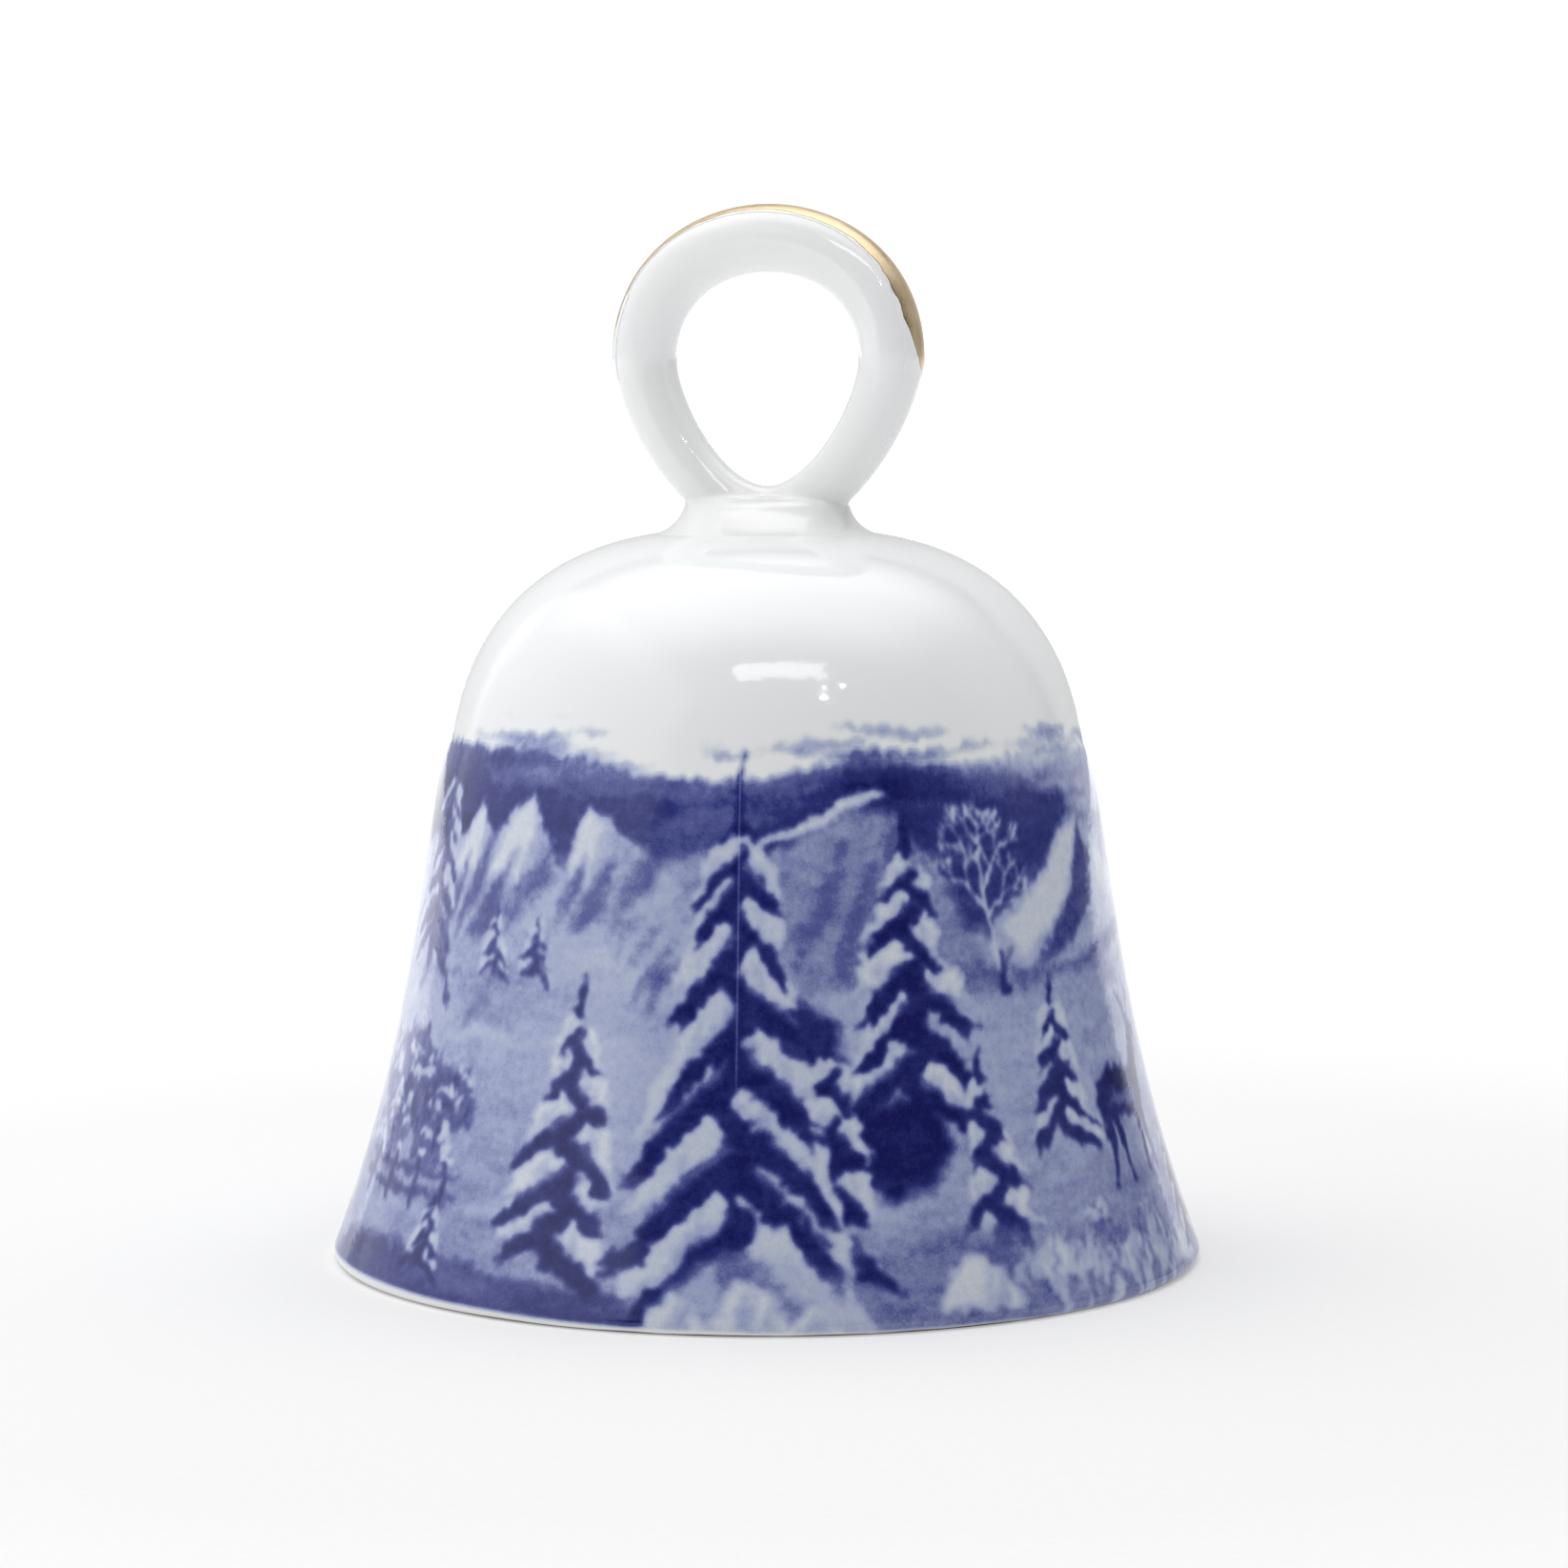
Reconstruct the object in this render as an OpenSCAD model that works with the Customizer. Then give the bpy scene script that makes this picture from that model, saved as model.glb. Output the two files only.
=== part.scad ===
// Hand bell of glazed porcelain with a ring handle and a bead clapper.
// Millimetres, +Z up. The origin is the centre of the rim plane, on which the bell stands.
// The ring handle lies in the XZ plane.

/* [Bell wall] */
// Outer radius of the wall at the rim
rim_r = 47.1; // [44:0.1:50]
// Height of the crown seat above the rim
crown_h = 78.3; // [75:0.1:82]
// Radius of the flat crown seat that carries the handle
crown_r = 12.2; // [11.8:0.1:13]
// Outer radius of the wall at the waist, where the skirt meets the shoulder
waist_r = 34.8; // [33:0.1:37]
// Height of the waist above the rim
waist_h = 55; // [52:0.5:58]
// Thickness of the cast wall
wall = 2.8; // [2.2:0.1:3.4]
// Lean of the skirt from the vertical at the rim
rim_lean = 20.9; // [16:0.1:26]
// Lean of the wall from the vertical at the waist
waist_lean = 15.6; // [12:0.1:20]
// Fall of the shoulder where it leaves the crown
crown_fall = 8.7; // [5:0.1:12]
// Width of the ground foot ring under the rim
foot_ring = 1; // [0.6:0.1:1.4]

/* [Printed transfers] */
// Height of the lower edge of the transfers
print_low = 2.4; // [1.6:0.1:6]
// Height of the upper edge of the transfers
print_high = 64; // [58:0.5:68]
// Direction of the front seam between the two sheets, turned from -Y towards +X
seam_turn = 15.5; // [-90:0.5:90]

/* [Ring handle] */
// Height of the ring's centre above the rim
ring_h = 96.4; // [96:0.1:99]
// Radius of the ring's centre line over the top
ring_r = 14.1; // [12.5:0.05:14.5]
// Radius of the ring's centre line around the narrow toe
toe_r = 10.1; // [9:0.05:11]
// How far the toe's centre lies below the ring's centre
toe_drop = 6.6; // [5.5:0.1:8]
// Radius of the ring's round section
tube_r = 3.2; // [2.8:0.05:3.6]
// Radius of the foot at its narrowest
neck_r = 9.2; // [8.5:0.1:10]
// Height of the foot above the crown seat
foot_h = 2.6; // [2.2:0.1:3.2]
// Radius of the cove between the foot and the crown
cove_r = 1.6; // [1:0.1:2]
// Thickness of the fired gilding
gilding = 0.08; // [0.05:0.01:0.15]
// Half of the gilding's spread around the ring's section
gilding_spread = 40; // [30:0.5:60]
// How far the gilding runs below the ring's centre on each side
gilding_tail = 3; // [0:1:10]

/* [Clapper] */
// Distance from the crown's inside down to the lug's bore
lug_drop = 6.5; // [6:0.1:8]
// Outer radius of the lug around its bore
lug_r = 4.2; // [3.8:0.1:4.6]
// Radius of the lug's bore
lug_bore = 1.7; // [1.6:0.05:2]
// Thickness of the lug along its bore
lug_t = 3.2; // [2.6:0.1:3.6]
// Radius of the centre line of the hanger link
link_r = 4.2; // [4:0.1:5]
// Radius of the brass wire
wire_r = 0.6; // [0.5:0.05:0.7]
// Radius of the centre line of the stem's eye
eye_r = 1.9; // [1.8:0.05:2.1]
// Radius of the clapper bead
bead_r = 8.5; // [7:0.1:9.5]
// Height of the bead's centre above the rim
bead_h = 20; // [16:0.5:24]
// Running gap between the bead's bore and the stem
bead_gap = 0.08; // [0.05:0.01:0.1]
// Radius of the ball under the bead
stop_r = 1.5; // [1.2:0.1:2]

/* [Hidden] */
$fn = 96;
skin = 0.25;                 // thickness of a transfer with its glaze
collar = 0.8;                // length of the hair-thin collars that join the ring's stretches
steps = 16;                  // straight stretches along each curve of the wall
rim_pull = 26.4;             // how firmly the skirt follows its lean at the rim
waist_pull_down = 11.2;
waist_pull_up = 5;
crown_pull = 19.4;
lip_r = 1.1;                 // rounding of the rim's outer edge
lip_in = 1.3;                // height of the bevel inside the rim
crown_in = crown_h - wall;   // height of the crown's inside
air = 0.08;                  // gap that keeps two loose wires from touching
lug_h = crown_in - lug_drop;                            // height of the lug's bore
sag = link_r - sqrt(pow(link_r, 2) - pow(lug_t / 2, 2)); // bend of the link inside the bore
link_top = lug_h - lug_bore + wire_r + sag + air + 0.12;
link_h = link_top - link_r;                             // height of the link's centre
eye_h = link_h - link_r + wire_r + air - (eye_r - wire_r);
stop_h = bead_h - sqrt(pow(bead_r, 2) - pow(wire_r + bead_gap, 2))
    - sqrt(pow(stop_r, 2) - pow(wire_r + bead_gap, 2)) - air;
toe_turn = asin((ring_r - toe_r) / toe_drop);           // lean of the ring's straight legs
leg = sqrt(pow(toe_drop, 2) - pow(ring_r - toe_r, 2));

function heading(lean) = [-sin(lean), cos(lean)];
function curve(p, t) =
    pow(1 - t, 3) * p[0] + 3 * pow(1 - t, 2) * t * p[1]
    + 3 * (1 - t) * t * t * p[2] + pow(t, 3) * p[3];
function slope(p, t) =
    pow(1 - t, 2) * (p[1] - p[0]) + 2 * (1 - t) * t * (p[2] - p[1]) + t * t * (p[3] - p[2]);
function inward(p, t, depth) =
    curve(p, t) - depth * [slope(p, t)[1], -slope(p, t)[0]] / norm(slope(p, t));

// The two curves of the wall's outside: the flaring skirt and the shoulder.
lip = [rim_r - lip_r, lip_r] + lip_r * [cos(rim_lean), sin(rim_lean)];
waist = [waist_r, waist_h];
crown = [crown_r, crown_h];
skirt = [
    lip,
    lip + rim_pull * heading(rim_lean),
    waist - waist_pull_down * heading(waist_lean),
    waist
];
shoulder = [
    waist,
    waist + waist_pull_up * heading(waist_lean),
    crown + crown_pull * [cos(crown_fall), -sin(crown_fall)],
    crown
];

// The wall's outline at a depth under its outside, from the rim up to the crown.
function wall_line(depth) = concat(
    [for (i = [0 : steps]) inward(skirt, i / steps, depth)],
    [for (i = [1 : steps]) inward(shoulder, i / steps, depth)]
);
function reversed(list) = [for (i = [len(list) - 1 : -1 : 0]) list[i]];
function between(list, low, high) = [for (p = list) if (p[1] > low && p[1] < high) p];

// Slip-cast wall, hollow and open below, with a ground foot ring.
module bell_shell() {
    outside = wall_line(skin);
    inside = between(wall_line(wall), lip_in, crown_h);
    centre = [rim_r - lip_r, lip_r];
    edge = lip_r - skin;
    color("white")
        rotate_extrude()
            polygon(concat(
                [[rim_r - lip_r, 0]],
                [for (a = [-75 : 15 : 0]) centre + [edge * cos(a), lip_r * sin(a)]],
                outside,
                [[0, outside[2 * steps][1]], [0, crown_in], [crown_r - 1, crown_in]],
                reversed(inside),
                [[rim_r - lip_r - foot_ring, 0]]
            ));
}

// One of the two printed sheets, fired on to half of the wall.
module transfer(turn) {
    outer = between(wall_line(0), print_low, print_high);
    count = len(outer);
    first = [for (i = [0 : 2 * steps]) if (wall_line(0)[i] == outer[0]) i][0];
    inner = [for (i = [0 : count - 1]) wall_line(skin)[first + i]];
    color("royalblue")
        rotate([0, 0, turn])
            rotate_extrude(angle = 180)
                polygon(concat(outer, reversed(inner)));
}
module transfer_right() transfer(seam_turn - 90);
module transfer_left() transfer(seam_turn + 90);

// An arc of round tube in the XZ plane.
module tube_arc(radius, from, sweep)
    rotate([90, 0, 0])
        rotate([0, 0, from])
            rotate_extrude(angle = sweep)
                translate([radius, 0]) circle(tube_r);

// One straight leg of the ring, from the wide top down to the toe, with a collar on each end.
module leg_tube(side)
    translate([side * ring_r * cos(toe_turn), 0, -ring_r * sin(toe_turn)])
        rotate([0, side * toe_turn, 0]) {
            translate([0, 0, -leg + collar / 4]) cylinder(r = tube_r, h = leg - collar / 2);
            for (z = [0, -leg])
                translate([0, 0, z])
                    cylinder(r = tube_r + 0.03, h = collar, center = true);
        }

// Egg-shaped ring with its toe sunk in a coved foot.
module ring_handle() {
    seat = wall_line(skin)[2 * steps][1];
    neck_top = crown_h + foot_h;
    color("white")
        difference() {
            union() {
                translate([0, 0, ring_h]) {
                    tube_arc(ring_r, -toe_turn, 180 + 2 * toe_turn);
                    leg_tube(-1);
                    leg_tube(1);
                    translate([0, 0, -toe_drop])
                        tube_arc(toe_r, 180 + toe_turn, 180 - 2 * toe_turn);
                }
                rotate_extrude()
                    polygon(concat(
                        [[0, seat], [neck_r + cove_r, seat]],
                        [for (a = [-90 : -15 : -180])
                            [neck_r + cove_r, crown_h + cove_r] + cove_r * [cos(a), sin(a)]],
                        [[neck_r, neck_top - 0.7], [neck_r - 0.7, neck_top], [0, neck_top]]
                    ));
            }
            translate([0, 0, seat - 10]) cube([60, 60, 20], center = true);
        }
}

// Band of fired gold around the outside of the ring's upper half.
module handle_gilding() {
    reach = 2 * tube_r;
    sweep = 180 + 2 * gilding_tail;
    color("gold")
        translate([0, 0, ring_h])
            rotate([90, 0, 0])
                rotate([0, 0, -gilding_tail])
                    rotate_extrude(angle = sweep)
                        translate([ring_r, 0])
                            intersection() {
                                difference() {
                                    circle(tube_r + gilding);
                                    circle(tube_r);
                                }
                                polygon([
                                    [0, 0],
                                    reach * [cos(gilding_spread), -sin(gilding_spread)],
                                    reach * [cos(gilding_spread), sin(gilding_spread)]
                                ]);
                            }
}

// Bored tab stuck inside the crown.
module clapper_lug() {
    foot = 1.2;
    color("whitesmoke")
        difference() {
            union() {
                translate([0, 0, lug_h])
                    rotate([0, 90, 0]) cylinder(r = lug_r, h = lug_t, center = true);
                translate([-lug_t / 2, -lug_r, lug_h]) cube([lug_t, 2 * lug_r, lug_drop]);
                translate([0, 0, crown_in - foot]) cylinder(r = lug_r + 1.2, h = foot);
            }
            translate([0, 0, lug_h])
                rotate([0, 90, 0]) cylinder(r = lug_bore, h = 2 * lug_t, center = true);
        }
}

// A closed ring of brass wire around the Z axis.
module wire_ring(radius)
    rotate_extrude() translate([radius, 0]) circle(wire_r);

// Closed link that hangs in the lug's bore.
module hanger_link() {
    color("goldenrod")
        translate([0, 0, link_h]) rotate([90, 0, 0]) wire_ring(link_r);
}

// Straight wire with an eye over the link and three turns wrapped below the eye.
module clapper_stem() {
    start = eye_h - eye_r;
    wrap_r = 1.9 * wire_r;
    color("goldenrod") {
        translate([0, 0, eye_h]) rotate([0, 90, 0]) wire_ring(eye_r);
        translate([0, 0, stop_h - stop_r]) cylinder(r = wire_r, h = start - stop_h + stop_r);
        for (i = [1 : 3])
            translate([0, 0, start - wire_r - 1.9 * wire_r * i]) wire_ring(wrap_r);
    }
}

// Glazed ball that turns freely on the stem.
module clapper_bead() {
    color("white")
        translate([0, 0, bead_h])
            difference() {
                sphere(bead_r);
                cylinder(r = wire_r + bead_gap, h = 4 * bead_r, center = true);
            }
}

// Brass ball pressed on to the stem's end to carry the bead.
module bead_stop() {
    color("goldenrod")
        translate([0, 0, stop_h])
            difference() {
                sphere(stop_r);
                cylinder(r = wire_r, h = 4 * stop_r, center = true);
            }
}

bell_shell();
transfer_left();
transfer_right();
ring_handle();
handle_gilding();
clapper_lug();
hanger_link();
clapper_stem();
clapper_bead();
bead_stop();
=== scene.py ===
"""Looks of a small porcelain hand bell: printed skirt, ring handle with gilding, and the clapper inside."""
import math

import bpy
import numpy as np
from mathutils import Matrix, Vector


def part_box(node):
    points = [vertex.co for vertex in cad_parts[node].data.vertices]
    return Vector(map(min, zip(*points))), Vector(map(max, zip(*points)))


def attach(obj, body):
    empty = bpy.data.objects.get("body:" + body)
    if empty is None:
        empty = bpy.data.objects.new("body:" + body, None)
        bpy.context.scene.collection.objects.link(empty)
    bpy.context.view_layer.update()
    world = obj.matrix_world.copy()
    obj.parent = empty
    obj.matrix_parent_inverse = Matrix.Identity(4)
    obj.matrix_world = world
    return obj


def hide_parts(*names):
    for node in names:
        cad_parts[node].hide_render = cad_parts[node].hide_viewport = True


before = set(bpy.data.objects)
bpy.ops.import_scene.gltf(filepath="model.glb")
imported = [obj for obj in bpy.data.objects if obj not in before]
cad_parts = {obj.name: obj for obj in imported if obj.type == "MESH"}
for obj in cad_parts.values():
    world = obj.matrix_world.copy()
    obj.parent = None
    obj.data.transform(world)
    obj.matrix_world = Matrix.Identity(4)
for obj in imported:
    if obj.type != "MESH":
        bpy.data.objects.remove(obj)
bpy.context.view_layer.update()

MM = 0.001
VIEW_TURN = 19.7             # degrees from the ring's square-on side round to the camera


def node_box(node):
    """A CAD node's lowest and highest corners at rest, in millimetres."""
    low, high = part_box(node)
    return low / MM, high / MM


# The wall's driving sizes, in millimetres, from the CAD wall and the printed skin on it.
PRINT_SKIN = 0.25
shell_high = node_box("bell_shell")[1]
RIM_R = shell_high.x + PRINT_SKIN
CROWN_H = shell_high.z + PRINT_SKIN
CROWN_R = 12.2
WAIST = (34.8, 55.0)         # radius and height where the skirt meets the shoulder
WALL = 2.8
RIM_LEAN = math.radians(20.9)
WAIST_LEAN = math.radians(15.6)
CROWN_FALL = math.radians(8.7)
LIP_R = 1.1
# The ring: the height of its widest place, how far the middle of its roll of clay lies from there at the
# least, and the roll's radius.
RING_H = node_box("ring_handle")[1].z - 16.7
RING_R = 13.4
TUBE_R = 3.2
GILDING_EDGE = 2.3           # how far the gilding reaches each side of the ring's middle

# ---------------------------------------------------------------- the print

# The canvas for the print: azimuth round the wall across, height above the rim upwards.
ARC = 0.733                  # millimetres of canvas for each degree of azimuth
CELLS = 8                    # canvas cells for each millimetre
TALL = 66                    # height of the canvas in millimetres
WIDE = int(round(360 * ARC * CELLS))
HIGH = TALL * CELLS


def ease(x):
    """Smooth step from 0 to 1."""
    x = np.clip(x, 0, 1)
    return x * x * (3 - 2 * x)


def cloud(rng, across, up, layers=3):
    """Soft noise from 0 to 1 over the canvas, which wraps round the bell. Cell sizes are in millimetres."""
    total = np.zeros((HIGH, WIDE))
    weight = 1.0
    for layer in range(layers):
        columns = max(3, int(WIDE / CELLS / across * 2 ** layer))
        rows = max(2, int(TALL / up * 2 ** layer))
        lattice = rng.random((rows + 2, columns))
        c = np.arange(WIDE) / WIDE * columns
        r = np.arange(HIGH) / HIGH * rows
        c0 = c.astype(int)
        r0 = r.astype(int)
        cf = ease(c - c0)[None, :]
        rf = ease(r - r0)[:, None]
        low = lattice[r0][:, c0 % columns] * (1 - cf) + lattice[r0][:, (c0 + 1) % columns] * cf
        top = lattice[r0 + 1][:, c0 % columns] * (1 - cf) + lattice[r0 + 1][:, (c0 + 1) % columns] * cf
        total += weight * (low * (1 - rf) + top * rf)
        weight *= 0.5
    return total / (2 - 2 * weight)


def window(points, reach):
    """The rows and columns of the canvas round some points, with their places in millimetres."""
    low = np.floor((points.min(0) - reach) * CELLS).astype(int)
    high = np.ceil((points.max(0) + reach) * CELLS).astype(int) + 1
    rows = np.arange(max(low[1], 0), min(high[1], HIGH))
    columns = np.arange(low[0], high[0])
    x, z = np.meshgrid(columns / CELLS, rows / CELLS)
    return np.ix_(rows, (columns + WIDE // 2) % WIDE), x, z


def lay(ink, place, cover, tone):
    """Lays a tone of ink over the canvas where cover says."""
    ink[place] = ink[place] * (1 - cover) + tone * cover


def brush(ink, points, widths, tone, soft=0.3, cover=1.0):
    """A brush stroke through points of (azimuth, height), with half widths in millimetres."""
    p = np.array(points, float) * (ARC, 1)
    w = np.interp(np.linspace(0, 1, len(p)), np.linspace(0, 1, len(widths)), widths)
    place, x, z = window(p, w.max() + soft)
    mark = np.zeros(x.shape)
    for a, b, wa, wb in zip(p[:-1], p[1:], w[:-1], w[1:]):
        d = b - a
        t = np.clip(((x - a[0]) * d[0] + (z - a[1]) * d[1]) / max(d @ d, 1e-9), 0, 1)
        gap = np.hypot(x - a[0] - t * d[0], z - a[1] - t * d[1])
        mark = np.maximum(mark, (wa + (wb - wa) * t - gap) / soft + 0.5)
    lay(ink, place, ease(mark) * cover, tone)


def wash(ink, outline, tone, soft=0.8, cover=1.0):
    """A filled shape with soft edges. The outline's points are (azimuth, height)."""
    p = np.array(outline, float) * (ARC, 1)
    place, x, z = window(p, soft)
    inside = np.zeros(x.shape, bool)
    gap = np.full(x.shape, 1e9)
    for a, b in zip(p, np.roll(p, -1, 0)):
        d = b - a
        t = np.clip(((x - a[0]) * d[0] + (z - a[1]) * d[1]) / max(d @ d, 1e-9), 0, 1)
        gap = np.minimum(gap, np.hypot(x - a[0] - t * d[0], z - a[1] - t * d[1]))
        if abs(d[1]) > 1e-9:
            inside ^= ((a[1] > z) != (b[1] > z)) & (x < d[0] * (z - a[1]) / d[1] + a[0])
    lay(ink, place, ease(np.where(inside, gap, -gap) / soft + 0.5) * cover, tone)


def sky(ink, rng, z):
    """A streaky band of sky, pale where it fades up into the white glaze and dark over the hills."""
    turn = (np.arange(WIDE) - WIDE // 2) / CELLS / ARC
    knots = [-180, -150, -120, -92, -78, -55, -30, -14, -5, 5, 14, 24, 42, 60, 80, 110, 140, 165, 180]
    levels = [57, 58.4, 57, 56.4, 56.2, 57.9, 58, 55.7, 55.2, 56, 57.8, 57.2, 56.4, 56.6, 57.4, 58.2, 56.6,
            57.6, 57]
    edge = (np.interp(turn, knots, levels) + 0.9 * (cloud(rng, 9, 66, 2)[0] - 0.5))[None, :]
    streaks = cloud(rng, 15, 0.9, 3) - 0.5
    mottle = cloud(rng, 7, 3.0, 3) - 0.5
    deep = cloud(rng, 24, 7, 2)
    cover = ease((edge + 3.4 * streaks - z) / 1.5)
    tone = (0.57 + 0.32 * ease((deep - 0.34) * 2.6) * ease((edge - 0.6 - z) / 3.2)
            + 0.28 * mottle + 0.25 * streaks)
    wisps = (ease((cloud(rng, 12, 0.7, 2) - 0.55) * 6) * ease((edge + 2.6 - z) / 1.2)
             * ease((cloud(rng, 16, 66, 1) - 0.45) * 5))
    ink[:] = np.maximum(ink, 0.42 * wisps)
    tone = tone + (0.13 * ease((-18 - turn) / 20) - 0.2 * ease((turn - 22) / 20))[None, :]
    ink[:] = ink * (1 - cover) + np.clip(tone, 0.34, 1) * cover


def slope(ink, rng, points, tone, count, low, high, lean):
    """A soft hillside with dark strokes of shade running down it."""
    wash(ink, points, tone, 1.6)
    p = np.array(points, float)
    for _ in range(count):
        t = rng.random()
        i = rng.integers(len(p) - 1)
        x, y = p[i] * (1 - t) + p[i + 1] * t
        y -= rng.uniform(0.8, 3.5)
        run = rng.uniform(3, 7)
        line = [(x, y), (x + lean * 0.5, y - 0.5 * run), (x + lean, y - run)]
        brush(ink, line, [0.2, rng.uniform(0.5, 1.2), 0.15], rng.uniform(low, high), 1.5, 0.6)


def peak(ink, rng, az, top, foot, left, right):
    """A snowy peak: a broad lit face, a shaded face and brushed gullies."""
    def place(across, down):
        return (az + across + rng.uniform(-0.5, 0.5), top - (top - foot) * down + rng.uniform(-0.3, 0.3))

    wash(ink, [place(0, 0), place(0.3 * right, 0.16), place(0.55 * right, 0.34), place(right, 0.75),
            place(0.7 * right, 1), place(-0.6 * left, 1), place(-left, 0.7),
            place(-0.7 * left, 0.34), place(-0.4 * left, 0.16)], 0.28, 1.2)
    wash(ink, [place(0, 0.02), place(0.2 * right, 0.2), place(0.05 * right, 0.5), place(0.1 * right, 0.7),
            place(-0.3 * left, 0.55), place(-0.8 * left, 0.62), place(-0.6 * left, 0.34),
            place(-0.3 * left, 0.14)], 0.09, 1.0, 0.95)
    wash(ink, [place(0.3 * right, 0.2), place(0.8 * right, 0.62), place(0.4 * right, 0.85),
            place(0.2 * right, 0.5)], 0.42, 1.5, 0.7)
    for _ in range(5):
        x = az + rng.uniform(-0.6 * left, 0.5 * right)
        level = top - (top - foot) * rng.uniform(0.45, 0.7)
        slant = rng.uniform(-7, -3)
        line = [(x, level), (x + 0.6 * slant, level - 3.2), (x + slant, level - 6)]
        brush(ink, line, [0.2, 1.1, 0.2], rng.uniform(0.5, 0.78), 1.4, 0.6)


def lobe(ink, rng, az, z, side, reach, drop, gap, dark, snow, soft):
    """One loaded bough: a ragged dark underside and a pad of snow on top, the gap being the room it has."""
    curl = rng.uniform(0.1, 0.55)

    def along(t, lift=0.0):
        return (az + side * reach * t / ARC, z - drop * ((1 - curl) * t + curl * t * t) + lift)

    steep = math.hypot(reach, drop) / reach
    room = gap / steep
    under = [along(t, -0.52 * gap) for t in np.linspace(-0.05, 0.97, 6)]
    brush(ink, under, [0.3 * room, 0.34 * room, 0.32 * room, 0.27 * room, 0.2 * room, 0.07 * room], dark,
          soft)
    for _ in range(max(4, int(reach * 1.3))):
        t = rng.uniform(0.15, 0.98)
        x, y = along(t, -0.66 * gap)
        out = side * rng.uniform(0.1, 0.7) * room / ARC
        brush(ink, [(x, y), (x + out, y - rng.uniform(0.15, 0.42) * gap)], [0.2 * room, 0.05], dark,
              0.6 * soft, 0.85)
    if rng.random() < 0.08:
        return
    start = rng.uniform(0.0, 0.16)
    end = rng.uniform(0.9, 1.06)
    body = rng.uniform(0.32, 0.41) * room
    pads = [(start, end)] if reach < 4 or rng.random() < 0.6 else [(start, 0.5), (0.44, end)]
    for first, last in pads:
        lift = rng.uniform(-0.05, 0.12) * gap
        pad = [along(first + (last - first) * t, lift) for t in np.linspace(0, 1, 6)]
        brush(ink, pad, [0.25 * body, 0.8 * body, body, 1.05 * body, 0.85 * body, 0.2 * body], snow,
              0.8 * soft)
    shade = [along(t, -0.3 * gap) for t in np.linspace(0.08, 0.95, 6)]
    brush(ink, shade, [0.06 * room, 0.12 * room, 0.15 * room, 0.13 * room, 0.1 * room, 0.03 * room], 0.45,
          1.2 * soft, 0.6)
    for _ in range(3):
        x, y = along(rng.uniform(0.3, 1.0), -0.12 * gap)
        out = side * rng.uniform(0.2, 0.7) * room / ARC
        brush(ink, [(x, y), (x + out, y - 0.34 * gap)], [0.17 * room, 0.06], snow, 0.6 * soft, 0.85)
    x, y = along(rng.uniform(0.3, 0.7), 0.05 * gap)
    brush(ink, [(x, y), (x + side * 1.0, y - 0.3 * gap)], [0.1, 0.1 * room], 0.4, 0.7 * soft, 0.5)


def fir(ink, rng, az, foot, tip, spread, tiers, dark=0.97, snow=0.15, steep=0.75, soft=0.7, fill=0.6):
    """A fir loaded with snow, open at the top. The spread is its half width at the foot in degrees."""
    height = tip - foot
    half = spread * ARC
    soft *= min(1.0, 0.45 + half / 14)
    brush(ink, [(az, tip + 0.3), (az - 0.1, tip - 0.2 * height), (az, foot + 0.06 * height)],
          [0.1, 0.03 * half + 0.18, 0.1 * half], dark, 0.6 * soft)
    # Bare stubs near the top.
    for t in np.linspace(0.05, 0.17, 3):
        for side in (-1, 1):
            w = half * rng.uniform(0.8, 1.5) * t
            y = tip - (t + rng.uniform(-0.02, 0.02)) * height
            brush(ink, [(az, y), (az + side * w / ARC, y - 0.45 * w)], [0.2 + 0.02 * half, 0.1], dark,
                  0.5 * soft)
    order = []
    for tier in range(tiers):
        for side in (-1, 1):
            u = (tier + 0.5 + 0.22 * side + rng.uniform(-0.1, 0.1)) / tiers
            order.append((0.13 + 0.83 * u ** 1.12, side))
    room = height * 0.88 / tiers
    for u, side in sorted(order, reverse=True):
        gap = room * (0.3 + 0.7 * min(1, u / 0.5))
        reach = half * u ** fill * rng.uniform(0.85, 1.08)
        drop = steep * reach * rng.uniform(0.85, 1.15)
        z = min(tip - height * u + 0.75 * drop, tip - (0.1 + 0.25 * u) * height)
        lobe(ink, rng, az - side * 0.06 * half, z, side, reach, drop, gap, dark, snow, soft)
    brush(ink, [(az, tip + 0.3), (az, tip - 0.13 * height)], [0.12, 0.05 * half + 0.14], dark, 0.6 * soft)


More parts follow.
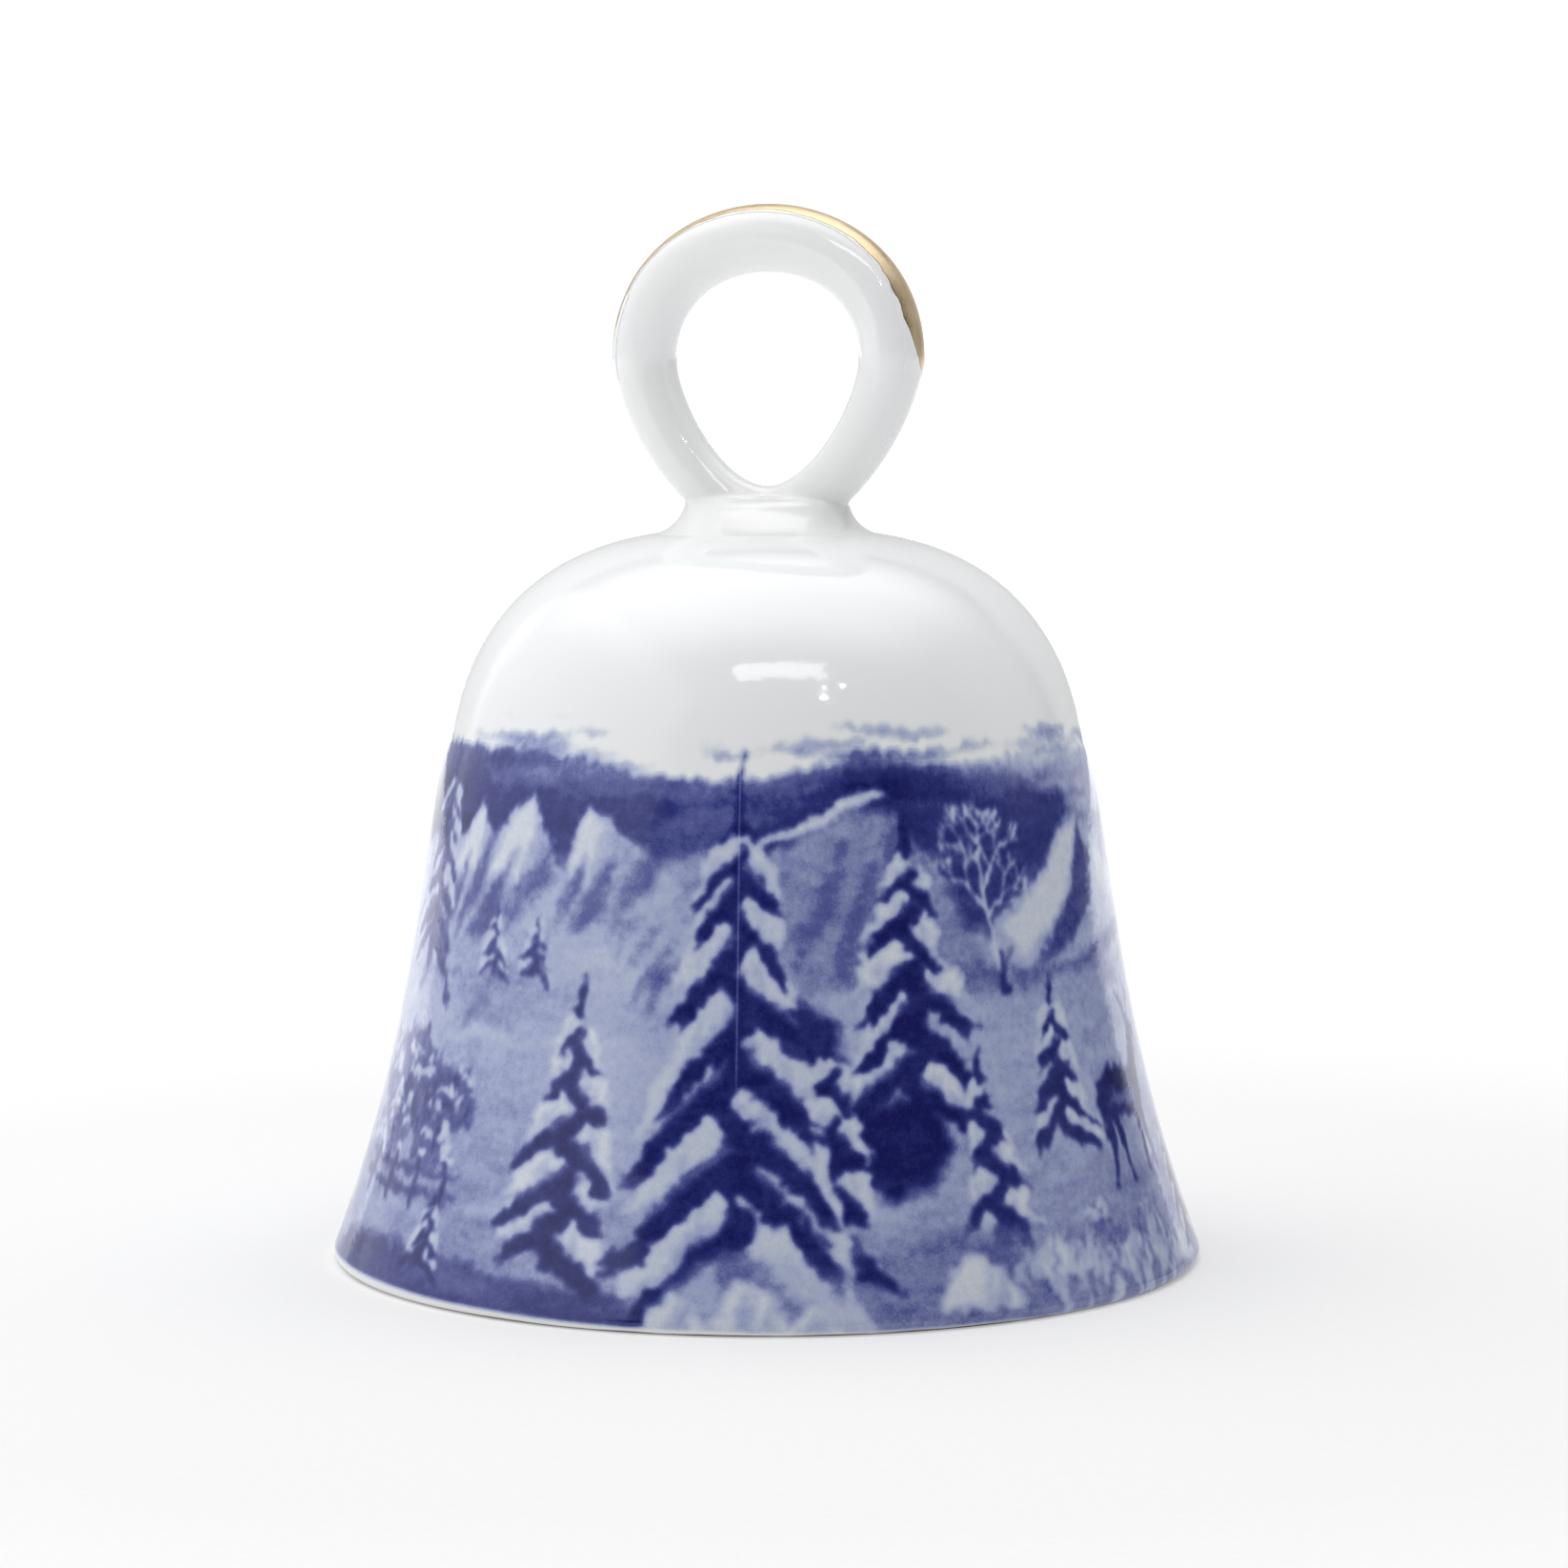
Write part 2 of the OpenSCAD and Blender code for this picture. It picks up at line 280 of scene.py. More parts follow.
def bare_tree(ink, rng, az, foot, tip, tone=0.16):
    """A leafless tree whose frosted twigs stand pale against the sky."""
    def limb(x, y, heading, length, width, depth):
        x2 = x + length * math.sin(heading) / ARC
        y2 = y + length * math.cos(heading)
        bend = rng.uniform(-0.3, 0.3)
        brush(ink, [(x, y), ((x + x2) / 2 + bend, (y + y2) / 2), (x2, y2)], [width, 0.75 * width], tone, 0.26)
        if depth:
            for turn in (-rng.uniform(0.3, 0.8), rng.uniform(0.3, 0.8)):
                limb(x2, y2, heading * 0.85 + turn, length * rng.uniform(0.55, 0.8),
                     max(0.72 * width, 0.1), depth - 1)
        else:
            brush(ink, [(x2, y2), (x2 + 0.4 * math.sin(heading), y2 + 0.5)], [0.17, 0.13], tone - 0.04,
                  0.26, 0.9)

    height = tip - foot
    brush(ink, [(az + 0.6, foot - 0.3), (az, foot + 0.16 * height)], [0.9, 0.5], 0.86, 0.7)
    brush(ink, [(az + 2.5, foot + 3.5), (az + 0.4, foot + 1.5)], [0.3, 0.6], 0.7, 0.7, 0.8)
    limb(az - 0.2, foot + 0.1 * height, -0.2, 0.3 * height, 0.34, 0)
    x = az - 0.2 - 0.3 * height * math.sin(0.2) / ARC
    y = foot + 0.39 * height
    limb(x, y, -0.85, 0.16 * height, 0.22, 3)
    limb(x, y, 0.28, 0.2 * height, 0.26, 4)
    limb(x + 0.5, y - 1.0, 0.95, 0.17 * height, 0.2, 3)
    limb(x, y + 1.4, -0.2, 0.17 * height, 0.2, 4)


def shrub(ink, rng, az, z, size, dark=0.85):
    """A round bush, dark inside, with twigs and dabs of snow."""
    wash(ink, [(az + 3.2 * size * math.cos(a), z + 1.7 * size * math.sin(a))
            for a in np.linspace(0, 5.6, 9)], 0.85 * dark, 1.2)
    for _ in range(int(24 * size)):
        a = rng.uniform(0, 2 * math.pi)
        r = size * math.sqrt(rng.random()) * 2.5
        x = az + r * math.cos(a) / ARC
        y = z + 0.75 * r * math.sin(a)
        brush(ink, [(x, y), (x + rng.uniform(-1, 1), y + rng.uniform(0.2, 1.3))], [0.4, 0.2],
              rng.uniform(0.6, 1.1) * dark, 0.5, 0.8)
    for _ in range(int(6 * size)):
        a = rng.uniform(-0.3, math.pi + 0.3)
        r = size * rng.uniform(0.4, 2.5)
        x = az + r * math.cos(a) / ARC
        y = z + 0.8 * r * math.sin(a)
        wide = rng.uniform(0.5, 1.2)
        brush(ink, [(x - wide, y - 0.2), (x, y + 0.25), (x + wide, y - 0.1)], [0.12, 0.46, 0.15], 0.16,
              0.6, 0.9)


def deer(ink, az, z, tone=0.7):
    """A standing deer, plainly drawn."""
    legs = ((-6.8, -1.6), (-4.2, 1.0), (4.4, -0.7), (6.8, 0.9))
    for x, lean in legs:
        brush(ink, [(az + x, z + 7.2), (az + x + 0.3 * lean, z + 3.4), (az + x + lean, z)],
              [0.95, 0.42, 0.3], tone, 0.5)
    wash(ink, [(az - 8.6, z + 6.4), (az - 8, z + 10.4), (az - 4, z + 11.8), (az + 3, z + 10.8),
            (az + 7.4, z + 11.6), (az + 8.6, z + 8), (az + 5, z + 6), (az - 3, z + 6.6)], tone, 1.0)
    wash(ink, [(az - 6, z + 8.2), (az + 3, z + 7.4), (az + 6, z + 8.8), (az - 2, z + 9.4)], 0.42, 1.3, 0.7)
    wash(ink, [(az - 8, z + 10), (az - 4, z + 11.9), (az + 3, z + 11), (az + 1, z + 9.8)], tone + 0.15,
         1.2, 0.8)
    brush(ink, [(az + 6.2, z + 10.2), (az + 8, z + 13), (az + 9, z + 15)], [1.7, 1.2, 0.85], tone + 0.05, 0.7)
    brush(ink, [(az + 8.4, z + 15.3), (az + 12, z + 14.2)], [0.95, 0.45], tone + 0.05, 0.6)
    for way in (-1, 1):
        brush(ink, [(az + 8.6, z + 15.6), (az + 8.6 + 2.6 * way, z + 18),
                (az + 8.6 + 1.8 * way, z + 20.4)], [0.26, 0.24, 0.12], tone - 0.1, 0.35)
        brush(ink, [(az + 8.6 + 2.1 * way, z + 17.4), (az + 8.6 + 4.4 * way, z + 19)], [0.2, 0.1],
              tone - 0.1, 0.35)


def reeds(ink, rng, start, end, z):
    """Frosted grass, pale blades over blue shadow."""
    for _ in range(int((end - start) * 1.5)):
        x = rng.uniform(start, end)
        y = z + rng.uniform(-1.5, 1.5)
        blade = rng.uniform(1.2, 3.8)
        tone = rng.choice([0.12, 0.16, 0.22, 0.5, 0.66])
        bend = rng.uniform(-1.4, 2.4)
        brush(ink, [(x, y), (x + 0.3 * bend, y + 0.6 * blade), (x + bend, y + blade)], [0.32, 0.24, 0.07],
              tone, 0.45, 0.7)


def drift(ink, rng, az, z, wide, high):
    """A mound of snow with blue in its folds."""
    wash(ink, [(az - wide, z - high), (az - 0.7 * wide, z + 0.2 * high), (az - 0.1 * wide, z + high),
            (az + 0.5 * wide, z + 0.5 * high), (az + wide, z - high)], 0.1, 1.1)
    for _ in range(4):
        x = az + rng.uniform(-0.6, 0.7) * wide
        brush(ink, [(x, z + 0.4 * high), (x - 1.2, z - 0.8 * high)], [0.2, 0.6], 0.38, 0.9, 0.6)


def paint_scene():
    """The ink over the whole canvas, from 0, bare glaze, to 1, the darkest cobalt."""
    rng = np.random.default_rng(11)
    z = (np.arange(HIGH) / CELLS)[:, None]
    ink = np.zeros((HIGH, WIDE))
    turn = (np.arange(WIDE) - WIDE // 2) / CELLS / ARC
    field = 0.35 + 0.07 * ease((turn + 30) / 50)[None, :] * ease((100 - turn) / 30)[None, :]
    field = field + 0.22 * (cloud(rng, 16, 7, 3) - 0.5) + 0.1 * (cloud(rng, 26, 2.2, 2) - 0.5)
    field = field + 0.1 * ease((21 - z) / 10) * ease((-8 - turn) / 20)[None, :]
    sky(ink, rng, z)
    ground = ease((47.2 + 3.5 * (cloud(rng, 9, 66, 2)[:1] - 0.5) - z) / 2.4)
    ink[:] = ink * (1 - ground) + field * ground
    # Mountains on the side seen first, with dark sky let down between them.
    wash(ink, [(-78, 50), (-60, 50), (-50, 46.5), (-36, 47), (-20, 48.5), (-14, 52), (-78, 54)], 0.86, 1.6,
         0.8)
    slope(ink, rng, [(-78, 44), (-62, 47), (-46, 46), (-30, 45), (-18, 46), (-12, 38), (-78, 36)], 0.33,
          16, 0.5, 0.8, -6)
    peak(ink, rng, -54, 51.2, 39, 9, 8)
    peak(ink, rng, -42.8, 52.2, 38.5, 9, 10)
    peak(ink, rng, -30, 51.4, 40.5, 4, 17)
    for x, y, run, slant in ((-50, 47.5, 8, -7), (-47, 44, 7, -8), (-37, 47, 5, -3), (-24, 46, 7, -8),
            (-15, 49, 8, -9), (-44, 46, 9, -9)):
        brush(ink, [(x, y), (x + 0.5 * slant, y - 0.6 * run), (x + slant, y - run)], [0.3, 1.5, 0.3], 0.7,
              1.8, 0.75)
    wash(ink, [(-1, 49), (14, 53.4), (21, 52), (24, 49), (20, 47), (8, 47.5), (-1, 46.6)], 0.9, 1.4, 0.9)
    wash(ink, [(-3, 46.2), (6, 49.2), (15, 51.6), (21, 51), (26, 46), (34, 40), (36, 34), (0, 33)], 0.48, 1.6)
    brush(ink, [(-1, 48.2), (8, 50.2), (15, 52.4), (20, 52.8)], [0.25, 0.6, 0.7, 0.2], 0.1, 0.8)
    for x, y, run, slant in ((20, 50.5, 5, 2), (12, 47.5, 9, -5), (9, 44, 8, -4), (17, 46, 9, -5),
            (15, 41, 7, -3)):
        brush(ink, [(x, y), (x + 0.5 * slant, y - 0.6 * run), (x + slant, y - run)], [0.4, 1.4, 0.3], 0.68,
              1.9, 0.7)
    wash(ink, [(26, 49.5), (34, 52), (48, 53), (60, 52), (62, 49.5), (52, 43), (40, 37.6), (33, 39),
            (29, 44)], 0.84, 2.2, 0.9)
    wash(ink, [(24, 36.5), (36, 35.5), (40, 33.2), (24, 33.2)], 0.66, 1.6, 0.8)
    wash(ink, [(38, 39.4), (50, 44.2), (57, 48.4), (63.5, 49.6), (68, 47), (84, 40), (84, 34), (38, 33.6)],
         0.34, 1.2)
    wash(ink, [(40, 38.8), (50, 43.4), (57, 47.6), (63.5, 49), (60, 44.5), (52, 38.8), (44, 35.6)], 0.1,
         1.1, 0.95)
    wash(ink, [(64.5, 48.4), (67.5, 44.5), (66, 40.5), (56, 36.4), (46, 34.4), (52, 38), (59, 42.6)], 0.76,
         1.5, 0.95)
    wash(ink, [(68, 46.6), (76, 43.6), (84, 42), (82, 39), (72, 41)], 0.12, 1.2, 0.8)
    wash(ink, [(40, 34.6), (58, 35), (84, 38.6), (82, 36), (60, 33.4), (42, 33)], 0.66, 1.4, 0.8)
    for az in (92, 107, 121, 141, 158, 174, -163, -147, -130, -114, -98, -84):
        top = 50.5 + rng.uniform(-1.5, 1.8)
        wash(ink, [(az - 9, 50), (az, 49), (az + 9, 50.5), (az + 7, 54), (az - 7, 54)], 0.86, 1.6, 0.7)
        peak(ink, rng, az + rng.uniform(-2, 2), top, 39, rng.uniform(6, 10), rng.uniform(6, 10))
    # Shadow lines on the snow.
    for start, end, level, tone in ((-78, -36, 33, 0.56), (-62, -30, 32, 0.48), (24, 48, 32.8, 0.62),
            (30, 60, 31.6, 0.45), (90, 130, 32.5, 0.55), (150, 215, 33, 0.5), (-140, -90, 32.4, 0.55)):
        mid = (start + end) / 2
        brush(ink, [(start, level - 0.6), (mid, level + 0.3), (end, level)], [0.1, 0.5, 0.05], tone, 0.9, 0.8)
    for _ in range(80):
        x = rng.uniform(-180, 180)
        y = rng.uniform(5, 31)
        run = rng.uniform(6, 16)
        tone = rng.choice([0.18, 0.24, 0.42, 0.48])
        brush(ink, [(x, y), (x + run / 2, y + rng.uniform(-0.4, 0.6)), (x + run, y - 0.4)],
              [0.1, 0.8, 0.1], tone, 1.6, 0.5)
    # Trees far off.
    bare_tree(ink, rng, 38.5, 33, 53.6)
    bare_tree(ink, rng, 148, 32, 54)
    bare_tree(ink, rng, -118, 32, 53.5)
    fir(ink, rng, -67.8, 32.5, 56.4, 11, 6, 0.8, 0.2, soft=1.1)
    fir(ink, rng, -46.7, 33.4, 40.6, 3.6, 3, 0.8, 0.12)
    fir(ink, rng, -38.2, 33.8, 39.8, 3.3, 3, 0.82, 0.12)
    fir(ink, rng, 22.6, 19.3, 51, 11.4, 5, 0.97, 0.1)
    for az, foot, tip, spread in ((96, 31, 46, 6), (112, 32, 41, 4), (166, 31, 44, 5), (-172, 32, 41, 4),
            (-150, 31, 48, 7), (-99, 32, 42, 4), (-92, 32, 40, 3.4)):
        fir(ink, rng, az, foot, tip, spread, 4 if spread > 4 else 3, 0.85, 0.12)
    # Nearer trees and what grows on the snow.
    wash(ink, [(9.5, 19), (12, 14.4), (17.5, 12.8), (23, 13.8), (26.4, 17.6), (25, 21.6), (18.5, 22.6),
            (12, 21.5)], 0.98, 2.0)
    wash(ink, [(3, 34), (10, 30), (13, 22), (9, 16), (4, 20)], 0.95, 1.8, 0.9)
    deer(ink, 65.2, 11.2, 0.9)
    fir(ink, rng, 48.6, 16, 33.2, 7.6, 4, 0.92, 0.12)
    for az, level, size, dark in ((-74, 22, 2.2, 0.7), (-66, 24, 1.8, 0.75), (-60, 20.5, 2.3, 0.85),
            (-52, 20, 1.9, 0.9), (-69, 17, 2.1, 0.75), (-55, 15.6, 1.6, 0.8), (-76, 14, 1.6, 0.6)):
        shrub(ink, rng, az, level, size, dark)
    for level in (12.6, 10.6):
        brush(ink, [(-76, level + 0.4), (-60, level), (-46.5, level + 0.4)], [0.3, 0.42, 0.15], 0.8, 0.5)
    for az in (-73, -65, -57, -50):
        brush(ink, [(az, 9.2), (az + 0.3, 14.4)], [0.42, 0.36], 0.85, 0.5)
        brush(ink, [(az - 0.4, 14.7), (az + 1, 14.7)], [0.32, 0.3], 0.08, 0.4)
    fir(ink, rng, -29, 4.3, 34.4, 10, 5, 0.93, 0.1)
    fir(ink, rng, 32.8, 4.3, 26.6, 7, 4, 0.9, 0.1)
    wash(ink, [(-80, 0.6), (-76, 4.6), (-62, 5.6), (-46, 5.2), (-30, 4), (-14, 3.4), (-8, 1.4), (-30, -1),
            (-80, -1)], 0.82, 1.6, 0.95)
    wash(ink, [(-58, 3.4), (-46, 4.2), (-34, 3.2), (-44, 2.2)], 0.6, 1.4, 0.7)
    fir(ink, rng, -51.3, 3.6, 10.8, 4.4, 3, 0.95, 0.14)
    wash(ink, [(6, -1), (12, 7), (24, 10), (40, 8.5), (60, 7.5), (84, 7), (84, -1)], 0.56, 2.6, 0.85)
    drift(ink, rng, 28, 4.4, 6.5, 2.6)
    drift(ink, rng, 41, 6, 5, 1.6)
    drift(ink, rng, 58, 5, 6, 1.5)
    drift(ink, rng, 72, 3.6, 6, 1.8)
    reeds(ink, rng, 34, 84, 4.2)
    reeds(ink, rng, 38, 70, 1.6)
    shrub(ink, rng, 51, 8.6, 0.7, 0.7)
    fir(ink, rng, 8.9, 6.4, 30, 8, 4, 0.97, 0.12)
    wash(ink, [(-22, 12), (-12, 8), (-4, 10), (6, 8), (14, 10), (10, 2), (-18, 2)], 0.5, 3.0, 0.7)
    fir(ink, rng, -4.1, -0.5, 56.8, 16.5, 7, 0.96, 0.15, 0.95, 0.85, 0.5)
    wash(ink, [(-15, -1), (-13, 5), (-5, 8), (4, 7), (11, 5), (13, -1)], 0.28, 3.0, 0.62)
    for az, level, wide, high in ((-12, 2.2, 4.5, 1.8), (-2, 3.2, 5, 2.6), (6, 1.6, 4, 1.6)):
        drift(ink, rng, az, level, wide, high)
    # The side away from it, in the same manner.
    for az, foot, tip, spread, tiers in ((92, 4, 30, 10, 5), (108, 10, 27, 7, 4), (128, 1, 50, 15, 8),
            (160, 6, 30, 9, 5), (-174, 3, 36, 11, 6), (-157, 12, 27, 6, 4), (-132, 1, 46, 14, 8),
            (-108, 6, 27, 8, 5), (-88, 3, 20, 6, 4), (80, 3, 16, 5, 4)):
        fir(ink, rng, az, foot, tip, spread, tiers)
    for az, level, size in ((142, 9, 1.6), (148, 6, 1.2), (-120, 8, 1.5), (-146, 7, 1.2), (100, 6, 1)):
        shrub(ink, rng, az, level, size)
    wash(ink, [(84, -1), (90, 3), (100, 3.6), (140, 3), (176, 4), (200, -1)], 0.72, 1.8, 0.85)
    wash(ink, [(-164, -1), (-140, 3.4), (-112, 3), (-84, 4.4), (-72, -1)], 0.76, 1.8, 0.85)
    drift(ink, rng, 150, 3, 7, 1.8)
    drift(ink, rng, -145, 3, 7, 1.8)
    reeds(ink, rng, 134, 176, 3.4)
    reeds(ink, rng, -160, -130, 3)
    return ink


def roughen(ink, rng):
    """Shifts the drawing a little from place to place, so that its edges look brushed, and grains it."""
    dx = (cloud(rng, 1.6, 1.6, 2) - 0.5) * 0.9 * CELLS
    dz = (cloud(rng, 1.6, 1.6, 2) - 0.5) * 0.9 * CELLS
    dx += (cloud(rng, 7, 7, 1) - 0.5) * 1.2 * CELLS
    dx += (cloud(rng, 0.6, 0.9, 1) - 0.5) * 0.7 * CELLS
    dz += (cloud(rng, 0.9, 0.6, 1) - 0.5) * 0.7 * CELLS
    rows = np.clip(np.arange(HIGH)[:, None] + dz, 0, HIGH - 1.001)
    columns = np.arange(WIDE)[None, :] + dx
    r0 = rows.astype(int)
    c0 = np.floor(columns).astype(int)
    rf = rows - r0
    cf = columns - c0
    a = ink[r0, c0 % WIDE] * (1 - cf) + ink[r0, (c0 + 1) % WIDE] * cf
    b = ink[r0 + 1, c0 % WIDE] * (1 - cf) + ink[r0 + 1, (c0 + 1) % WIDE] * cf
    drawn = a * (1 - rf) + b * rf
    for shift in (1, 2):
        drawn = (np.roll(drawn, shift, 0) + 2 * drawn + np.roll(drawn, -shift, 0)) / 4
        drawn = (np.roll(drawn, shift, 1) + 2 * drawn + np.roll(drawn, -shift, 1)) / 4
    grain = cloud(rng, 0.7, 0.7, 2) - 0.5
    brushed = cloud(rng, 3.4, 1.1, 3) - 0.5
    drawn = np.clip(drawn + (0.1 * grain + 0.16 * brushed) * ease(drawn * 3), 0, 1)
    # The lower edge of the sheets leaves a strip of white above the rim, widest on the left.
    turn = (np.arange(WIDE) - WIDE // 2) / CELLS / ARC
    hem = 0.75 - 0.75 * np.sin(np.radians(turn + 12)) + 0.3 * (cloud(rng, 12, 66, 2)[0] - 0.5)
    height = (np.arange(HIGH) / CELLS)[:, None]
    drawn *= ease((height - hem[None, :]) / 0.6 + 0.5)
    # The join between the sheets shows as a hairline.
    seam = (np.exp(-(((turn + 4.2) * ARC) / 0.09) ** 2)[None, :]
            * ease((height - 22) / 4) * ease((57 - height) / 1))
    drawn *= ease((62.5 - height) / 1.5)
    return drawn * (1 - 0.45 * seam)


# ---------------------------------------------------------------- shapes

def curve_point(points, t):
    """A place on a cubic curve, and the direction there."""
    a, b, c, d = (np.array(p, float) for p in points)
    place = (1 - t) ** 3 * a + 3 * (1 - t) ** 2 * t * b + 3 * (1 - t) * t * t * c + t ** 3 * d
    way = (1 - t) ** 2 * (b - a) + 2 * (1 - t) * t * (c - b) + t * t * (d - c)
    return place, way / np.hypot(*way)


def heading(lean):
    return np.array((-math.sin(lean), math.cos(lean)))


def wall_curves():
    """The two curves of the wall's outside, the skirt and the shoulder, as (radius, height)."""
    lip_turn = np.array((math.cos(RIM_LEAN), math.sin(RIM_LEAN)))
    lip = np.array((RIM_R - LIP_R, LIP_R)) + LIP_R * lip_turn
    waist = np.array(WAIST)
    crown = np.array((CROWN_R, CROWN_H))
    fall = np.array((math.cos(CROWN_FALL), -math.sin(CROWN_FALL)))
    skirt = (lip, lip + 26.4 * heading(RIM_LEAN), waist - 11.2 * heading(WAIST_LEAN), waist)
    shoulder = (waist, waist + 5 * heading(WAIST_LEAN), crown + 19.4 * fall, crown)
    return skirt, shoulder


def wall_line(depth, skirt_steps, shoulder_steps):
    """Points up the wall at a depth under its outside, at even spacing on each curve."""
    line = []
    for points, steps in zip(wall_curves(), (skirt_steps, shoulder_steps)):
        fine = [curve_point(points, t) for t in np.linspace(0, 1, 600)]
        places = np.array([p for p, _ in fine])
        run = np.concatenate(([0], np.cumsum(np.hypot(*np.diff(places, axis=0).T))))
        marks = np.interp(np.linspace(0, run[-1], steps + 1), run, np.linspace(0, 1, 600))
        for t in marks[1 if line else 0:]:
            place, way = curve_point(points, t)
            line.append(place - depth * np.array((way[1], -way[0])))
    return line


def arc(centre, radius, start, end, steps):
    angles = np.radians(np.linspace(start, end, steps + 1))
    return [np.array(centre) + radius * np.array((math.cos(a), math.sin(a))) for a in angles]


def choose(*pieces):
    """Selects these pieces alone, with the last of them active."""
    bpy.ops.object.select_all(action="DESELECT")
    for piece in pieces:
        piece.select_set(True)
        bpy.context.view_layer.objects.active = piece


def start_point(name, place):
    """A new object at the origin whose mesh is one selected point, left in edit mode."""
    choose()
    bpy.ops.mesh.primitive_plane_add(size=MM)
    piece = bpy.context.object
    piece.name = name
    piece.data.name = name
    bpy.ops.object.mode_set(mode="EDIT")
    bpy.ops.mesh.select_mode(type="VERT")
    bpy.ops.mesh.select_all(action="SELECT")
    bpy.ops.mesh.merge(type="CENTER")
    bpy.ops.transform.translate(value=Vector(place) * MM)
    return piece


def draw_line(points):
    """Extrudes the selected point along a line of (x, y, z) places, in millimetres."""
    here = Vector(points[0])
    for place in points[1:]:
        there = Vector(place)
        bpy.ops.mesh.extrude_region_move(TRANSFORM_OT_translate={"value": (there - here) * MM})
        here = there


def lathe(name, outline, steps, sweep=360.0, closed=False, smooth=40):
    """Turns a line of (radius, height) about the bell's axis. A part turn of a closed one gets end faces."""
    places = [(r, 0, z) for r, z in outline]
    piece = start_point(name, places[0])
    draw_line(places)
    bpy.ops.mesh.select_all(action="SELECT")
    if closed:
        bpy.ops.object.mode_set(mode="OBJECT")
        uses = np.zeros(len(piece.data.vertices), int)
        for edge in piece.data.edges:
            uses[list(edge.vertices)] += 1
        for vertex in piece.data.vertices:
            vertex.select = bool(uses[vertex.index] == 1)
        bpy.ops.object.mode_set(mode="EDIT")
        bpy.ops.mesh.edge_face_add()
        bpy.ops.mesh.select_all(action="SELECT")
        if sweep >= 360:
            bpy.ops.mesh.delete(type="ONLY_FACE")
            bpy.ops.mesh.select_all(action="SELECT")
    bpy.ops.mesh.spin(steps=steps, angle=math.radians(sweep), center=(0, 0, 0), axis=(0, 0, 1))
    bpy.ops.mesh.select_all(action="SELECT")
    bpy.ops.mesh.remove_doubles(threshold=1e-6)
    bpy.ops.mesh.normals_make_consistent(inside=False)
    bpy.ops.object.mode_set(mode="OBJECT")
    bpy.ops.object.shade_smooth_by_angle(angle=math.radians(smooth))
    return piece


def place_mesh(piece, matrix):
    piece.data.transform(matrix)
    piece.data.update()
    return piece


def copy_of(piece, name, matrix):
    twin = piece.copy()
    twin.data = piece.data.copy()
    twin.name = name
    twin.data.name = name
    bpy.context.scene.collection.objects.link(twin)
    return place_mesh(twin, matrix)


def apply_modifiers(piece):
    choose(piece)
    for modifier in list(piece.modifiers):
        bpy.ops.object.modifier_apply(modifier=modifier.name)


def as_wet_clay(piece, voxel, rounds):
    """Runs a piece's parts into one skin, in voxels of a size in millimetres, and sponges it smooth."""
    remesh = piece.modifiers.new("luting", "REMESH")
    remesh.mode = "VOXEL"
    remesh.voxel_size = voxel * MM
    if rounds:
        smooth = piece.modifiers.new("sponging", "SMOOTH")
        smooth.factor = 0.5
        smooth.iterations = rounds
    apply_modifiers(piece)


# ---------------------------------------------------------------- materials

def nodes_of(tree):
    return tree.nodes, tree.links


def add_socket(group, name, kind, way="INPUT", value=None):
    socket = group.interface.new_socket(name=name, in_out=way, socket_type=kind)
    if value is not None:
        socket.default_value = value
    return socket


def math_node(tree, operation, *values):
    node = tree.nodes.new("ShaderNodeMath")
    node.operation = operation
    for socket, value in zip(node.inputs, values):
        if isinstance(value, (int, float)):
            socket.default_value = value
        else:
            tree.links.new(value, socket)
    return node.outputs[0]


def noise_node(tree, coordinates, scale, detail=2.0, roughness=0.5):
    node = tree.nodes.new("ShaderNodeTexNoise")
    node.inputs["Scale"].default_value = scale
    node.inputs["Detail"].default_value = detail
    node.inputs["Roughness"].default_value = roughness
    tree.links.new(coordinates, node.inputs["Vector"])
    return node.outputs["Fac"]


def mix_colour(tree, mask, low, high, blend="MIX"):
    node = tree.nodes.new("ShaderNodeMix")
    node.data_type = "RGBA"
    node.blend_type = blend
    for name, value in (("Factor_Float", mask), ("A_Color", low), ("B_Color", high)):
        socket = next(s for s in node.inputs if s.identifier == name)
        if isinstance(value, (int, float, tuple)):
            socket.default_value = value
        else:
            tree.links.new(value, socket)
    return next(s for s in node.outputs if s.identifier == "Result_Color")


def map_range(tree, value, low, high, to_low=0.0, to_high=1.0):
    node = tree.nodes.new("ShaderNodeMapRange")
    node.inputs["From Min"].default_value = low
    node.inputs["From Max"].default_value = high
    node.inputs["To Min"].default_value = to_low
    node.inputs["To Max"].default_value = to_high
    tree.links.new(value, node.inputs["Value"])
    return node.outputs["Result"]


def object_place(tree):
    return tree.nodes.new("ShaderNodeTexCoord").outputs["Object"]


def split_place(tree, place):
    parts = tree.nodes.new("ShaderNodeSeparateXYZ")
    tree.links.new(place, parts.inputs[0])
    return parts.outputs


GLAZE_WHITE = (0.86, 0.878, 0.888)
GLAZE_IOR = 1.52
GLAZE_DEPTH = 0.00006        # metres from the lowest to the highest of the glaze's unevenness
SPECK_BROWN = (0.16, 0.13, 0.10, 1)


